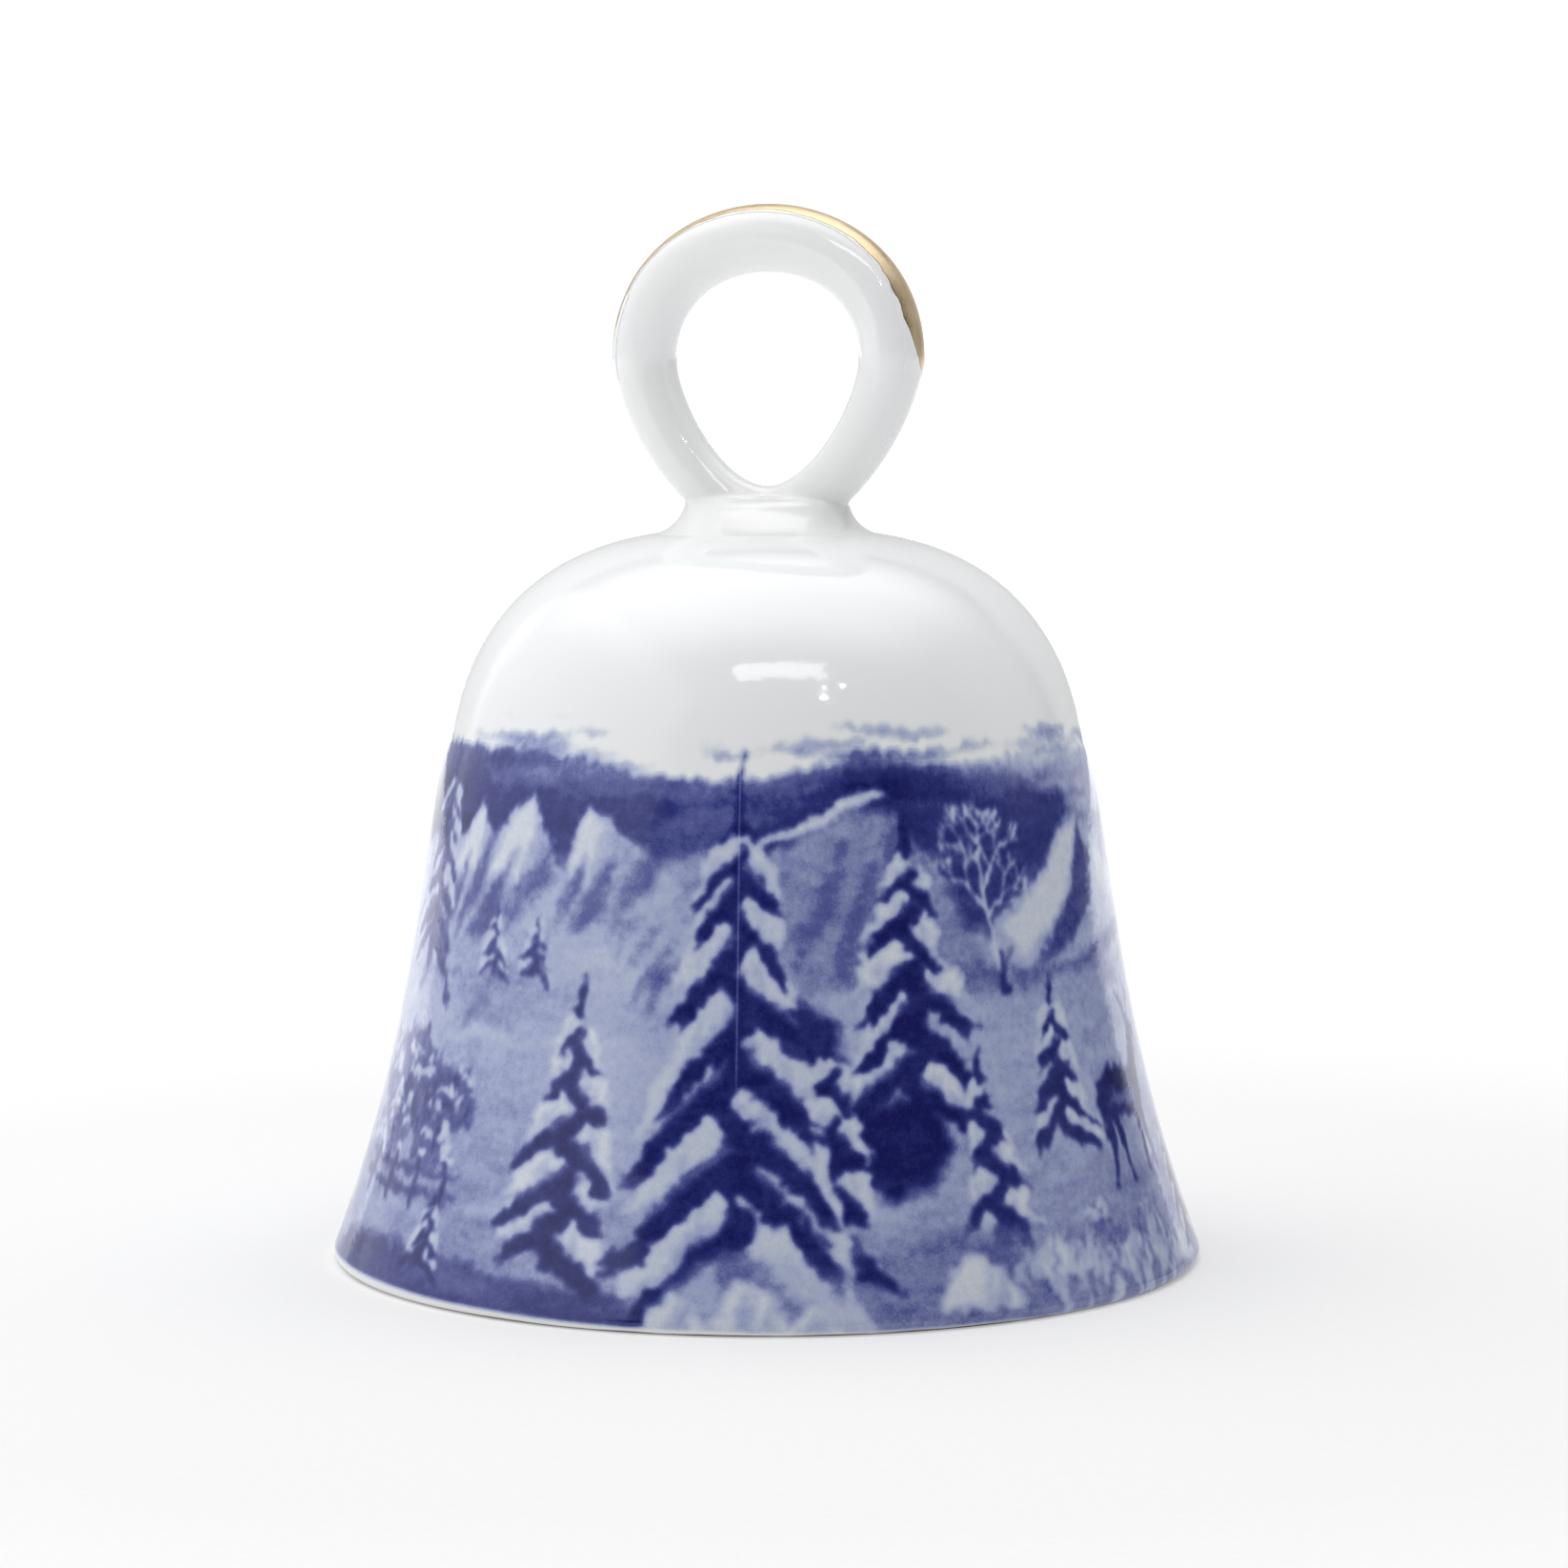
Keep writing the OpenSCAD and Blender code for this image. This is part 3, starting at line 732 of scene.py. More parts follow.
def glaze_skin_group():
    """Fired glaze: a faint orange peel, a slow flow, kiln specks and a slightly uneven tint."""
    group = bpy.data.node_groups.new("glaze_skin", "ShaderNodeTree")
    add_socket(group, "Peel", "NodeSocketFloat", value=0.3)
    add_socket(group, "Flow", "NodeSocketFloat", value=1.0)
    add_socket(group, "Base Roughness", "NodeSocketFloat", value=0.07)
    add_socket(group, "Height", "NodeSocketFloat", "OUTPUT")
    add_socket(group, "Roughness", "NodeSocketFloat", "OUTPUT")
    add_socket(group, "Tint", "NodeSocketFloat", "OUTPUT")
    add_socket(group, "Specks", "NodeSocketFloat", "OUTPUT")
    nodes, links = nodes_of(group)
    start = nodes.new("NodeGroupInput")
    end = nodes.new("NodeGroupOutput")
    place = object_place(group)
    peel = noise_node(group, place, 850.0, 2.0, 0.45)
    flow = noise_node(group, place, 95.0, 1.5, 0.4)
    height = math_node(group, "ADD", math_node(group, "MULTIPLY", peel, start.outputs["Peel"]),
            math_node(group, "MULTIPLY", flow, start.outputs["Flow"]))
    links.new(height, end.inputs["Height"])
    patchy = noise_node(group, place, 210.0, 3.0, 0.6)
    rough = math_node(group, "ADD", start.outputs["Base Roughness"],
            map_range(group, patchy, 0.35, 0.75, -0.012, 0.03))
    links.new(rough, end.inputs["Roughness"])
    links.new(noise_node(group, place, 42.0, 2.0, 0.5), end.inputs["Tint"])
    cells = nodes.new("ShaderNodeTexVoronoi")
    cells.inputs["Scale"].default_value = 105.0
    links.new(place, cells.inputs["Vector"])
    small = math_node(group, "LESS_THAN", cells.outputs["Distance"], 0.019)
    parts = nodes.new("ShaderNodeSeparateColor")
    links.new(cells.outputs["Color"], parts.inputs[0])
    rare = math_node(group, "GREATER_THAN", parts.outputs[0], 0.87)
    links.new(math_node(group, "MULTIPLY", small, rare), end.inputs["Specks"])
    return group


def new_material(name):
    material = bpy.data.materials.new(name)
    material.use_nodes = True
    shader = material.node_tree.nodes["Principled BSDF"]
    return material, material.node_tree, shader


def glaze_skin(tree, group, rough=0.07):
    node = tree.nodes.new("ShaderNodeGroup")
    node.node_tree = group
    node.inputs["Peel"].default_value = 0.3
    node.inputs["Flow"].default_value = 1.0
    node.inputs["Base Roughness"].default_value = rough
    return node


def bump(tree, shader, height, depth):
    node = tree.nodes.new("ShaderNodeBump")
    node.inputs["Strength"].default_value = 1.0
    node.inputs["Distance"].default_value = depth
    tree.links.new(height, node.inputs["Height"])
    tree.links.new(node.outputs["Normal"], shader.inputs["Normal"])


def porcelain(name, skin_group, foot_ring=False):
    """White glazed porcelain. The bell's wall has an unglazed ring where it stood in the kiln."""
    material, tree, shader = new_material(name)
    skin = glaze_skin(tree, skin_group)
    warm = tuple(c * f for c, f in zip(GLAZE_WHITE, (1.0, 0.985, 0.965))) + (1,)
    colour = mix_colour(tree, map_range(tree, skin.outputs["Tint"], 0.3, 0.7), GLAZE_WHITE + (1,), warm)
    colour = mix_colour(tree, skin.outputs["Specks"], colour, SPECK_BROWN)
    rough = skin.outputs["Roughness"]
    height = skin.outputs["Height"]
    if foot_ring:
        place = object_place(tree)
        wander = map_range(tree, noise_node(tree, place, 160.0, 3.0), 0.3, 0.7, -0.00012, 0.00012)
        level = math_node(tree, "ADD", split_place(tree, place)["Z"], wander)
        bare = map_range(tree, level, 0.00042, 0.00026)
        sand = noise_node(tree, place, 3800.0, 3.0, 0.7)
        clay = mix_colour(tree, sand, (0.42, 0.36, 0.30, 1), (0.66, 0.61, 0.55, 1))
        stain = map_range(tree, noise_node(tree, place, 70.0, 3.0), 0.5, 0.75)
        clay = mix_colour(tree, stain, clay, (0.21, 0.15, 0.10, 1))
        colour = mix_colour(tree, bare, colour, clay)
        rough = math_node(tree, "MAXIMUM", rough, math_node(tree, "MULTIPLY", bare, 0.8))
        height = math_node(tree, "ADD", height, math_node(tree, "MULTIPLY",
                math_node(tree, "MULTIPLY", sand, bare), 0.5))
    tree.links.new(colour, shader.inputs["Base Color"])
    tree.links.new(rough, shader.inputs["Roughness"])
    shader.inputs["IOR"].default_value = GLAZE_IOR
    bump(tree, shader, height, GLAZE_DEPTH)
    return material


INK_RAMP = (
    (0.00, GLAZE_WHITE),
    (0.07, (0.700, 0.738, 0.795)),
    (0.14, (0.560, 0.612, 0.735)),
    (0.36, (0.365, 0.415, 0.640)),
    (0.60, (0.115, 0.132, 0.365)),
    (0.80, (0.032, 0.041, 0.215)),
    (1.00, (0.0060, 0.0080, 0.108)),
)


def cobalt_print(name, skin_group):
    """The printed landscape under the glaze, from the ink on each vertex, with the grain of the transfer."""
    material, tree, shader = new_material(name)
    nodes, links = nodes_of(tree)
    skin = glaze_skin(tree, skin_group, 0.06)
    place = object_place(tree)
    ink = nodes.new("ShaderNodeAttribute")
    ink.attribute_name = "ink"
    dots = noise_node(tree, place, 4200.0, 1.0, 0.5)
    mottle = noise_node(tree, place, 1300.0, 2.0, 0.6)
    grain = math_node(tree, "ADD", map_range(tree, dots, 0.25, 0.75, -0.035, 0.035),
            map_range(tree, mottle, 0.25, 0.75, -0.03, 0.03))
    amount = math_node(tree, "MINIMUM", math_node(tree, "MULTIPLY", ink.outputs["Fac"], 6.0), 1.0)
    density = math_node(tree, "ADD", ink.outputs["Fac"], math_node(tree, "MULTIPLY", grain, amount))
    ramp = nodes.new("ShaderNodeValToRGB")
    ramp.color_ramp.interpolation = "LINEAR"
    while len(ramp.color_ramp.elements) < len(INK_RAMP):
        ramp.color_ramp.elements.new(0.5)
    for element, (position, colour) in zip(ramp.color_ramp.elements, INK_RAMP):
        element.position = position
        element.color = colour + (1,)
    links.new(density, ramp.inputs["Fac"])
    colour = mix_colour(tree, skin.outputs["Specks"], ramp.outputs["Color"], SPECK_BROWN)
    # Where the glaze stops at the foot, a thin stained line of bare body, painted darker so that it also
    # stands in for the contact shadow under the rim.
    wander = map_range(tree, noise_node(tree, place, 130.0, 3.0), 0.3, 0.7, -0.00007, 0.00007)
    bare = map_range(tree, math_node(tree, "ADD", split_place(tree, place)["Z"], wander), 0.00028, 0.00018)
    colour = mix_colour(tree, bare, colour, (0.13, 0.095, 0.07, 1))
    links.new(colour, shader.inputs["Base Color"])
    rough = math_node(tree, "ADD", skin.outputs["Roughness"],
            math_node(tree, "MULTIPLY", ink.outputs["Fac"], 0.03))
    rough = math_node(tree, "MAXIMUM", rough, math_node(tree, "MULTIPLY", bare, 0.8))
    links.new(rough, shader.inputs["Roughness"])
    shader.inputs["IOR"].default_value = GLAZE_IOR
    height = math_node(tree, "SUBTRACT", skin.outputs["Height"],
            math_node(tree, "MULTIPLY", ink.outputs["Fac"], 0.12))
    bump(tree, shader, height, GLAZE_DEPTH)
    return material


def gilding_material(name, skin_group):
    """Thin bright gold brushed over the glaze, rubbed and specked, feathering into white at its edges."""
    material, tree, shader = new_material(name)
    nodes, links = nodes_of(tree)
    skin = glaze_skin(tree, skin_group)
    place = object_place(tree)
    side = math_node(tree, "ABSOLUTE", split_place(tree, place)["Y"])
    wander = map_range(tree, noise_node(tree, place, 420.0, 3.0), 0.3, 0.7, -0.00012, 0.00012)
    side = math_node(tree, "ADD", side, wander)
    # The width holds along the top and tapers to a round point at each end.
    drop = map_range(tree, split_place(tree, place)["Z"], (RING_H - 1.2) * MM, (RING_H + 4.5) * MM)
    taper = math_node(tree, "POWER", drop, 0.5)
    gap = math_node(tree, "SUBTRACT", math_node(tree, "MULTIPLY", taper, GILDING_EDGE * MM), side)
    cover = map_range(tree, gap, -0.00002, 0.00004)
    rim = math_node(tree, "MULTIPLY", cover, map_range(tree, gap, 0.00016, 0.00005))
    fleck = noise_node(tree, place, 2600.0, 3.0, 0.65)
    brushed = noise_node(tree, place, 300.0, 3.0, 0.6)
    gold = mix_colour(tree, brushed, (0.60, 0.44, 0.25, 1), (0.76, 0.62, 0.42, 1))
    gold = mix_colour(tree, map_range(tree, fleck, 0.66, 0.74), gold, (0.30, 0.20, 0.10, 1))
    gold = mix_colour(tree, rim, gold, (0.22, 0.15, 0.08, 1))
    colour = mix_colour(tree, cover, GLAZE_WHITE + (1,), gold)
    links.new(colour, shader.inputs["Base Color"])
    links.new(math_node(tree, "MULTIPLY", cover, 0.7), shader.inputs["Metallic"])
    worn = map_range(tree, brushed, 0.3, 0.7, 0.22, 0.42)
    rough = nodes.new("ShaderNodeMix")
    links.new(cover, rough.inputs["Factor"])
    links.new(skin.outputs["Roughness"], rough.inputs["A"])
    links.new(worn, rough.inputs["B"])
    links.new(rough.outputs["Result"], shader.inputs["Roughness"])
    shader.inputs["IOR"].default_value = GLAZE_IOR
    height = math_node(tree, "ADD", skin.outputs["Height"],
            math_node(tree, "MULTIPLY", math_node(tree, "MULTIPLY", fleck, cover), 0.4))
    bump(tree, shader, height, GLAZE_DEPTH)
    return material


def brass_material(name):
    """Drawn brass wire, dulled, with dark in its hollows and fine lines along it."""
    material, tree, shader = new_material(name)
    nodes, links = nodes_of(tree)
    place = object_place(tree)
    stretch = nodes.new("ShaderNodeMapping")
    stretch.inputs["Scale"].default_value = (1, 1, 0.12)
    links.new(place, stretch.inputs["Vector"])
    lines = noise_node(tree, stretch.outputs["Vector"], 5200.0, 3.0, 0.6)
    patina = noise_node(tree, place, 420.0, 4.0, 0.65)
    colour = mix_colour(tree, lines, (0.50, 0.34, 0.13, 1), (0.74, 0.55, 0.27, 1))
    colour = mix_colour(tree, map_range(tree, patina, 0.52, 0.72), colour, (0.20, 0.13, 0.06, 1))
    links.new(colour, shader.inputs["Base Color"])
    shader.inputs["Metallic"].default_value = 1.0
    rough = math_node(tree, "ADD", map_range(tree, patina, 0.3, 0.75, 0.2, 0.42),
            math_node(tree, "MULTIPLY", lines, 0.1))
    links.new(rough, shader.inputs["Roughness"])
    bump(tree, shader, lines, 0.00003)
    return material


def wear(piece, material):
    piece.data.materials.clear()
    piece.data.materials.append(material)


# ---------------------------------------------------------------- pieces

def add_ink(piece, canvas):
    """Gives each vertex the ink at its place on the canvas."""
    mesh = piece.data
    places = np.empty(len(mesh.vertices) * 3)
    mesh.vertices.foreach_get("co", places)
    x, y, z = places.reshape(-1, 3).T / MM
    turn = np.degrees(np.arctan2(x, -y)) - VIEW_TURN
    columns = turn * ARC * CELLS + WIDE // 2
    rows = np.clip(z * CELLS, 0, HIGH - 1.001)
    c0 = np.floor(columns).astype(int)
    r0 = rows.astype(int)
    cf = columns - c0
    rf = rows - r0
    ink = (canvas[r0, c0 % WIDE] * (1 - cf) + canvas[r0, (c0 + 1) % WIDE] * cf) * (1 - rf)
    ink += (canvas[r0 + 1, c0 % WIDE] * (1 - cf) + canvas[r0 + 1, (c0 + 1) % WIDE] * cf) * rf
    attribute = mesh.attributes.new("ink", "FLOAT", "POINT")
    attribute.data.foreach_set("value", ink.astype(np.float32))


PANELS = 6
SEAM_TURN = 15.5             # where the sheets of the print meet, from the front of the frame


def make_panels(canvas, material):
    """The outside of the wall in equal strips from rim to crown, thin and closed, with the print on them."""
    outside = arc((RIM_R - LIP_R, LIP_R), LIP_R, -84, math.degrees(RIM_LEAN), 14)[:-1] + wall_line(0, 285, 96)
    inside = wall_line(0.3, 14, 10)[::-1] + arc((RIM_R - LIP_R, LIP_R), LIP_R - 0.3,
            math.degrees(RIM_LEAN), -70, 3)[1:]
    sweep = 360 / PANELS
    first = lathe("printed_wall_1", outside + inside, 225, sweep, closed=True)
    low = min(math.degrees(math.atan2(v.co.x, -v.co.y)) for v in first.data.vertices)
    place_mesh(first, Matrix.Rotation(math.radians(SEAM_TURN - low), 4, "Z"))
    panels = [first]
    for turn in range(1, PANELS):
        panels.append(copy_of(first, f"printed_wall_{turn + 1}",
                Matrix.Rotation(math.radians(turn * sweep), 4, "Z")))
    for panel in panels:
        add_ink(panel, canvas)
        wear(panel, material)
        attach(panel, "bell")
        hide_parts("transfer_left", "transfer_right")


def make_bell_wall(material):
    """The white body inside the print: the hollow's face, the foot ring and the thickness between."""
    hidden = wall_line(0.36, 40, 20)
    hollow = wall_line(WALL, 60, 36)[::-1]
    crown_inside = CROWN_H - WALL
    hollow = [p for p in hollow if p[0] > 11.4 and p[1] > 2.4]
    outline = [(0, CROWN_H - 0.4), (6, CROWN_H - 0.4)] + hidden[::-1]
    outline += arc((RIM_R - LIP_R, LIP_R), LIP_R - 0.36, 10, -60, 3)
    outline += [(46.0, 0.0), (45.86, 0.0), (45.5, 0.0), (45.14, 0.0), (45.0, 0.02), (44.86, 0.24),
            (44.6, 0.62)]
    outline += [(44.38, 0.98), (44.2, 1.4)]
    outline += hollow[::-1]
    outline += [(11.2, crown_inside), (9.0, crown_inside), (6.5, crown_inside), (3.0, crown_inside),
            (0, crown_inside)]
    piece = lathe("bell_wall", outline, 216, smooth=50)
    wear(piece, material)
    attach(piece, "bell")
    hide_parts("bell_shell")


RING_POINTS = (
    # (x, height from the ring's middle), way along the ring, reach before and after it, thickness there
    ((0.0, 12.95), (1, 0), 7.3, 7.3, 1.15),
    ((14.1, 0.0), (0, -1), 8.3, 4.1, 1.10),
    ((0.0, -16.3), (-1, 0), 8.2, 8.2, 0.86),
    ((-14.1, 0.0), (0, 1), 4.1, 8.3, 1.10),
)


def ring_curve(name, radius, resolution, sides):
    """The ring's roll of clay, an egg a little longer below, as a bevelled curve standing in the XZ plane."""
    choose()
    bpy.ops.curve.primitive_bezier_circle_add(radius=RING_R * MM)
    ring = bpy.context.object
    ring.name = name
    curve = ring.data
    curve.dimensions = "3D"
    for point, (place, way, before, after, thick) in zip(curve.splines[0].bezier_points, RING_POINTS):
        middle = Vector((place[0], 0, place[1] + RING_H)) * MM
        way = Vector((way[0], 0, way[1])) * MM
        point.handle_left_type = "FREE"
        point.handle_right_type = "FREE"
        point.co = middle
        point.handle_left = middle - way * before
        point.handle_right = middle + way * after
        point.radius = thick
    curve.resolution_u = resolution
    curve.bevel_depth = radius * MM
    curve.bevel_resolution = sides
    curve.use_fill_caps = False
    bpy.ops.object.convert(target="MESH")
    return ring


def squash(piece, level, narrow):
    """Narrows one level of a piece, in millimetres, from front to back."""
    choose(piece)
    bpy.ops.object.mode_set(mode="EDIT")
    bpy.ops.mesh.select_all(action="DESELECT")
    bpy.ops.object.mode_set(mode="OBJECT")
    for vertex in piece.data.vertices:
        vertex.select = abs(vertex.co.z - level * MM) < 0.01 * MM
    bpy.ops.object.mode_set(mode="EDIT")
    bpy.ops.transform.resize(value=(1, narrow, 1), center_override=(0, 0, level * MM))
    bpy.ops.object.mode_set(mode="OBJECT")


def make_handle(material):
    """The finger ring and its round foot, luted together and smoothed over as wet clay."""
    ring = ring_curve("ring_handle_glazed", TUBE_R, 48, 14)
    neck = [(0, 76.6), (12.6, 76.6), (12.5, 77.6), (12.2, CROWN_H - 0.04), (11.5, 78.42), (10.7, 78.85),
            (10.1, 79.4)]
    neck += [(9.6, 80.1), (9.35, 80.8), (9.2, 81.5), (8.5, 82.0), (6.5, 82.3), (0, 82.3)]
    foot = lathe("ring_handle_foot", neck, 120)
    # The foot is pinched to an oval under the roll of clay.
    for level, narrow in ((78.85, 0.97), (79.4, 0.91), (80.1, 0.81), (80.8, 0.70), (81.5, 0.60),
            (82.0, 0.52), (82.3, 0.45)):
        squash(foot, level, narrow)
    choose(foot, ring)
    bpy.ops.object.join()
    as_wet_clay(ring, 0.24, 26)
    bpy.ops.object.shade_smooth()
    ring.data.name = ring.name
    wear(ring, material)
    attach(ring, "bell")
    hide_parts("ring_handle")


def make_gilding(material):
    """The skin of gold round the outer side of the ring, with the glaze just beyond its edges."""
    skin = ring_curve("gilding_band", TUBE_R + 0.045, 64, 24)
    choose(skin)
    bpy.ops.object.mode_set(mode="EDIT")
    bpy.ops.mesh.select_all(action="DESELECT")
    bpy.ops.mesh.select_mode(type="FACE")
    bpy.ops.object.mode_set(mode="OBJECT")
    for face in skin.data.polygons:
        x, y, z = face.center / MM
        outer = math.hypot(x, z - RING_H) > RING_R + 0.2
        face.select = not (outer and abs(y) < GILDING_EDGE + 0.25 and z > RING_H - 2)
    bpy.ops.object.mode_set(mode="EDIT")
    bpy.ops.mesh.delete(type="FACE")
    bpy.ops.object.mode_set(mode="OBJECT")
    sheet = skin.modifiers.new("leaf", "SOLIDIFY")
    sheet.thickness = 0.12 * MM
    sheet.offset = -1
    apply_modifiers(skin)
    bpy.ops.object.shade_smooth_by_angle(angle=math.radians(40))
    skin.data.name = skin.name
    wear(skin, material)
    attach(skin, "bell")
    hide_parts("handle_gilding")


def curve_piece(name, path, radius, resolution):
    """Wire bent through points in millimetres, as a smooth round tube with closed ends."""
    data = bpy.data.curves.new(name, "CURVE")
    data.dimensions = "3D"
    spline = data.splines.new("POLY")
    spline.points.add(len(path) - 1)
    for point, place in zip(spline.points, path):
        point.co = (*(Vector(place) * MM), 1)
    data.bevel_depth = radius * MM
    data.bevel_resolution = resolution
    data.use_fill_caps = True
    piece = bpy.data.objects.new(name, data)
    bpy.context.scene.collection.objects.link(piece)
    choose(piece)
    bpy.ops.object.convert(target="MESH")
    piece.data.name = name
    bpy.ops.object.shade_smooth_by_angle(angle=math.radians(40))
    return piece


# The clapper's parts, in millimetres: where each one is comes from its CAD node.
LUG_R = 4.2
LINK_R = 4.2
EYE_R = 1.9
WIRE_R = 0.6
LUG_H = node_box("clapper_lug")[0].z + LUG_R
LINK_H = node_box("hanger_link")[0].z + LINK_R + WIRE_R
EYE_H = node_box("clapper_stem")[1].z - EYE_R - WIRE_R
bead_low, bead_high = node_box("clapper_bead")
BEAD_R = (bead_high.x - bead_low.x) / 2
BEAD_H = (bead_high.z + bead_low.z) / 2
STOP_R = 1.5
STOP_H = sum(corner.z for corner in node_box("bead_stop")) / 2


def make_lug(material):
    """The pierced porcelain lug inside the crown."""
    choose()
    bpy.ops.mesh.primitive_cylinder_add(vertices=96, radius=LUG_R * MM, depth=3.2 * MM,
            location=(0, 0, LUG_H * MM),
            rotation=(0, math.pi / 2, 0))
    lug = bpy.context.object
    lug.name = "clapper_lug_glazed"
    bpy.ops.object.mode_set(mode="EDIT")
    bpy.ops.mesh.select_all(action="SELECT")
    bpy.ops.mesh.bevel(offset=0.5 * MM, segments=4, profile=0.5)
    bpy.ops.object.mode_set(mode="OBJECT")
    bpy.ops.object.transform_apply(location=True, rotation=True, scale=True)
    choose()
    bpy.ops.mesh.primitive_cylinder_add(vertices=96, radius=2.5 * MM, depth=4.2 * MM,
            location=(0, 0, 73.2 * MM))
    stalk = bpy.context.object
    bpy.ops.object.transform_apply(location=True, rotation=True, scale=True)
    stalk.data.transform(Matrix.Diagonal((0.62, 1.45, 1, 1)))
    foot = lathe("lug_foot", [(0, 75.75), (5.4, 75.75), (5.4, 75.3), (5.1, 74.9), (4.4, 74.62),
            (3.4, 74.3), (0, 74.3)], 96)
    choose(foot, stalk, lug)
    bpy.ops.object.join()
    as_wet_clay(lug, 0.16, 0)
    bore = lathe("lug_bore", [(0, -3.2), (2.35, -3.2), (2.35, -1.7), (1.98, -1.35), (1.78, -0.9),
            (1.7, -0.4), (1.7, 0.4),
            (1.78, 0.9), (1.98, 1.35), (2.35, 1.7), (2.35, 3.2), (0, 3.2)], 96)
    place_mesh(bore, Matrix.Translation((0, 0, LUG_H * MM)) @ Matrix.Rotation(math.pi / 2, 4, "Y"))
    cut = lug.modifiers.new("piercing", "BOOLEAN")
    cut.operation = "DIFFERENCE"
    cut.object = bore
    cut.solver = "EXACT"
    apply_modifiers(lug)
    as_wet_clay(lug, 0.16, 6)
    bpy.data.objects.remove(bore)
    choose(lug)
    bpy.ops.object.shade_smooth()
    lug.data.name = lug.name
    wear(lug, material)
    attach(lug, "bell")
    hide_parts("clapper_lug")


def make_link(material):
    """The split ring of wire through the lug, its two ends meeting at one side."""
    turns = np.radians(np.linspace(3.2, 356.8, 120))
    path = [(LINK_R * math.cos(a), 0, LINK_H + LINK_R * math.sin(a)) for a in turns]
    link = curve_piece("wire_link", path, WIRE_R, 8)
    wear(link, material)
    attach(link, "hanger")
    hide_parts("hanger_link")


def make_stem(material):
    """One wire: up from the bead, round the eye, and wrapped three times about itself."""
    path = [(0, 0, z) for z in np.linspace(STOP_H - 1.41, EYE_H - EYE_R - 1.6, 40)]
    path += [(0, 0.16 * math.sin(math.pi * t), EYE_H - EYE_R - 1.6 + 1.0 * t)
            for t in np.linspace(0.1, 0.9, 5)]
    for a in np.radians(np.linspace(-68, 248, 70)):
        path.append((0, EYE_R * math.cos(a), EYE_H + EYE_R * math.sin(a)))
    top = EYE_H - EYE_R - WIRE_R
    for t in np.linspace(0.06, 3.15, 130):
        a = math.radians(180) + 2 * math.pi * t
        swell = min(1.0, 0.62 + 0.9 * t)
        path.append((1.14 * swell * math.sin(a), 1.14 * swell * math.cos(a), top + 0.35 - 1.18 * t))
    stem = curve_piece("wire_stem", path, WIRE_R, 6)
    wear(stem, material)
    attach(stem, "clapper")
    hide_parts("clapper_stem")


def make_stop(material):
    """The little ball that keeps the bead on, flattened where the wire is riveted over."""
    outline = [(r, STOP_H + z) for r, z in ((0, -1.49), (0.5, -1.47), (0.72, -1.31), (0.78, -1.16))]
    outline += arc((0, STOP_H), STOP_R, -56, 62, 20) + [(0.66, STOP_H + 1.39), (0, STOP_H + 1.39)]
    stop = lathe("bead_stop_ball", outline, 64)
    wear(stop, material)
    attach(stop, "clapper")
    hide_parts("bead_stop")


def make_bead(material):
    """The round bead that strikes the wall, pierced from top to bottom with softened edges."""
    dip = math.degrees(math.asin(1.25 / BEAD_R))
    outline = arc((0, BEAD_H), BEAD_R, -90 + dip, 90 - dip, 72)
    high = BEAD_H + BEAD_R * math.cos(math.radians(dip))
    low = 2 * BEAD_H - high
    outline += [(1.0, high - 0.06), (0.82, high - 0.22), (0.72, high - 0.5), (0.7, high - 1.0)]
    outline += [(0.7, low + 1.0), (0.72, low + 0.5), (0.82, low + 0.22), (1.0, low + 0.06)]
    bead = lathe("glazed_bead", outline, 128, closed=True)
    wear(bead, material)
    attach(bead, "bead")
    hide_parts("clapper_bead")


# ---------------------------------------------------------------- camera, floor and lights

# The camera's place, in millimetres, and how far it looks down, in degrees.
CAMERA_AWAY = 480
CAMERA_ASIDE = 1.85
CAMERA_H = 91.0
CAMERA_TILT = 4.746


def add_camera():
    data = bpy.data.cameras.new("camera")
    data.lens = 101.9
    data.sensor_width = 36
    camera = bpy.data.objects.new("camera", data)
    bpy.context.scene.collection.objects.link(camera)
    turn = math.radians(VIEW_TURN)
    camera.location = Vector((
        CAMERA_AWAY * math.sin(turn) + CAMERA_ASIDE * math.cos(turn),
        -CAMERA_AWAY * math.cos(turn) + CAMERA_ASIDE * math.sin(turn),
        CAMERA_H,
    )) * MM
    camera.rotation_euler = (math.radians(90 - CAMERA_TILT), 0, turn)
    data.clip_start = 0.01
    data.clip_end = 100
    bpy.context.scene.camera = camera


def add_floor():
    choose()
    bpy.ops.mesh.primitive_plane_add(size=60)
    floor = bpy.context.object
    floor.name = "floor"
    material, tree, shader = new_material("white_paper")
    nodes, links = nodes_of(tree)
    place = object_place(tree)
    fibre = noise_node(tree, place, 900.0, 3.0, 0.6)
    links.new(mix_colour(tree, fibre, (0.50, 0.50, 0.50, 1), (0.54, 0.54, 0.54, 1)),
            shader.inputs["Base Color"])
    shader.inputs["Roughness"].default_value = 0.9
    shader.inputs["Specular IOR Level"].default_value = 0.0
    shader.inputs["Emission Color"].default_value = (1, 1, 1, 1)
    far = nodes.new("ShaderNodeVectorMath")
    far.operation = "LENGTH"
    links.new(place, far.inputs[0])
    glow = map_range(tree, far.outputs["Value"], 0.12, 0.8, FLOOR_GLOW, 1.05)
    links.new(glow, shader.inputs["Emission Strength"])
    floor.data.materials.append(material)


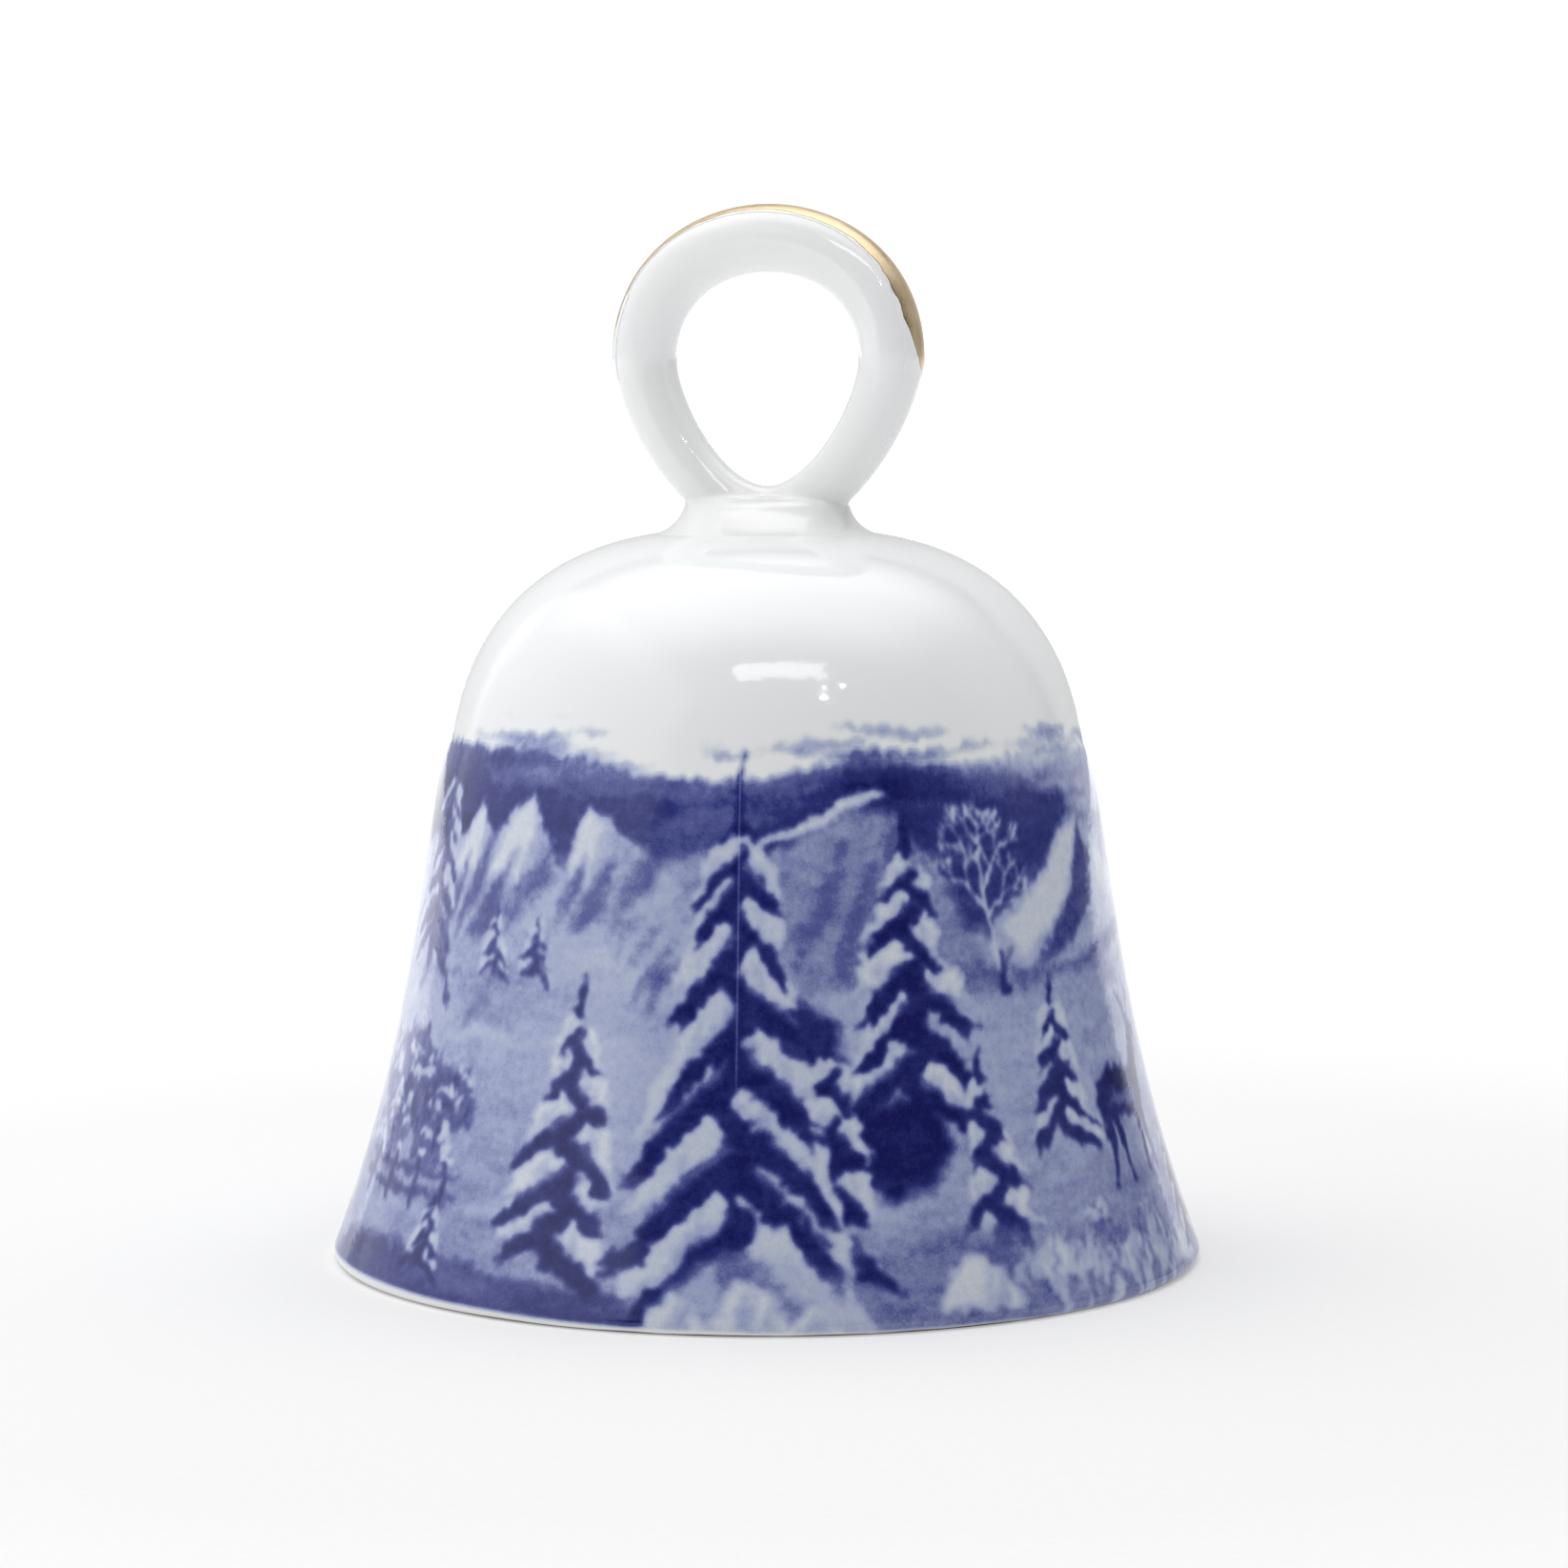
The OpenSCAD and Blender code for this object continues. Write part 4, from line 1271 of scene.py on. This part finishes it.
def soften_light(data, fade):
    data.use_nodes = True
    tree = data.node_tree
    nodes, links = nodes_of(tree)
    across = nodes.new("ShaderNodeSeparateXYZ")
    links.new(nodes.new("ShaderNodeNewGeometry").outputs["Parametric"], across.inputs[0])
    share = None
    for axis in ("X", "Y"):
        near = math_node(tree, "PINGPONG", across.outputs[axis], 0.5)
        step = nodes.new("ShaderNodeMapRange")
        step.interpolation_type = "SMOOTHSTEP"
        step.inputs["From Max"].default_value = fade
        links.new(near, step.inputs["Value"])
        share = step.outputs["Result"] if share is None else math_node(tree, "MULTIPLY", share,
            step.outputs["Result"])
    links.new(share, nodes["Emission"].inputs["Strength"])


def add_light(name, azimuth, height, away, size, glow, aim=(0, 0, 0.06), shape="RECTANGLE", fade=0.0):
    """An area light seen from the bell at an azimuth from the view, and a height above it, both in degrees.

    Its brightness falls away over the given share of its width and height at every edge."""
    data = bpy.data.lights.new(name, "AREA")
    data.shape = shape
    data.size = size[0]
    data.size_y = size[1]
    area = size[0] * size[1] * (math.pi / 4 if shape == "DISK" else 1)
    data.energy = glow * math.pi * area
    if fade:
        soften_light(data, fade)
    light = bpy.data.objects.new(name, data)
    bpy.context.scene.collection.objects.link(light)
    turn = math.radians(VIEW_TURN + azimuth)
    rise = math.radians(height)
    aim = Vector(aim)
    way = Vector((math.sin(turn) * math.cos(rise), -math.cos(turn) * math.cos(rise), math.sin(rise)))
    light.location = aim + way * away
    light.rotation_euler = (-way).to_track_quat("-Z", "Y").to_euler()
    light.visible_camera = False


def add_world():
    world = bpy.data.worlds.new("studio")
    bpy.context.scene.world = world
    world.use_nodes = True
    tree = world.node_tree
    nodes, links = nodes_of(tree)
    back = nodes["Background"]
    seen = nodes.new("ShaderNodeLightPath").outputs["Is Camera Ray"]
    room = nodes.new("ShaderNodeMix")
    links.new(seen, room.inputs["Factor"])
    room.inputs["A"].default_value = ROOM_LEVEL
    room.inputs["B"].default_value = 1.2
    links.new(room.outputs["Result"], back.inputs["Strength"])
    back.inputs["Color"].default_value = (1, 1, 1, 1)


FLOOR_GLOW = 0.37
ROOM_LEVEL = 0.08

add_camera()
add_floor()
add_world()
# Azimuth and height in degrees, distance and size in metres, and brightness, where 1 shows as white.
add_light("left_bank", -88, 22, 0.75, (1.9, 1.1), 0.81, fade=0.12)
add_light("right_bank", 105, 25, 0.95, (0.9, 0.8), 0.32, fade=0.3)
add_light("overhead", 180, 82, 0.8, (2.1, 1.5), 2.35, fade=0.38)
add_light("backdrop", 180, 12, 1.3, (3.2, 1.5), 0.55, fade=0.15)
add_light("window", 6.5, 49.8, 0.9, (0.50, 0.13), 5, fade=0.08)
add_light("lamp_large", 24.3, 37.2, 0.9, (0.046, 0.046), 26, shape="DISK")
add_light("lamp_left", 25.1, 41.0, 0.9, (0.026, 0.026), 22, shape="DISK")
add_light("lamp_right", 32.5, 40.6, 0.9, (0.030, 0.030), 20, shape="DISK")
bpy.context.scene.view_settings.view_transform = "Standard"

# ---------------------------------------------------------------- the bell

canvas = roughen(paint_scene(), np.random.default_rng(5))
skin_group = glaze_skin_group()
white = porcelain("porcelain_glaze", skin_group, foot_ring=True)
printed = cobalt_print("cobalt_print", skin_group)
handle_white = porcelain("handle_glaze", skin_group)
lug_white = porcelain("lug_porcelain", skin_group)
bead_white = porcelain("bead_glaze", skin_group)
gold = gilding_material("gilding", skin_group)
brass = brass_material("brass_wire")

make_panels(canvas, printed)
make_bell_wall(white)
make_handle(handle_white)
make_gilding(gold)
make_lug(lug_white)
make_link(brass)
make_stem(brass)
make_stop(brass)
make_bead(bead_white)
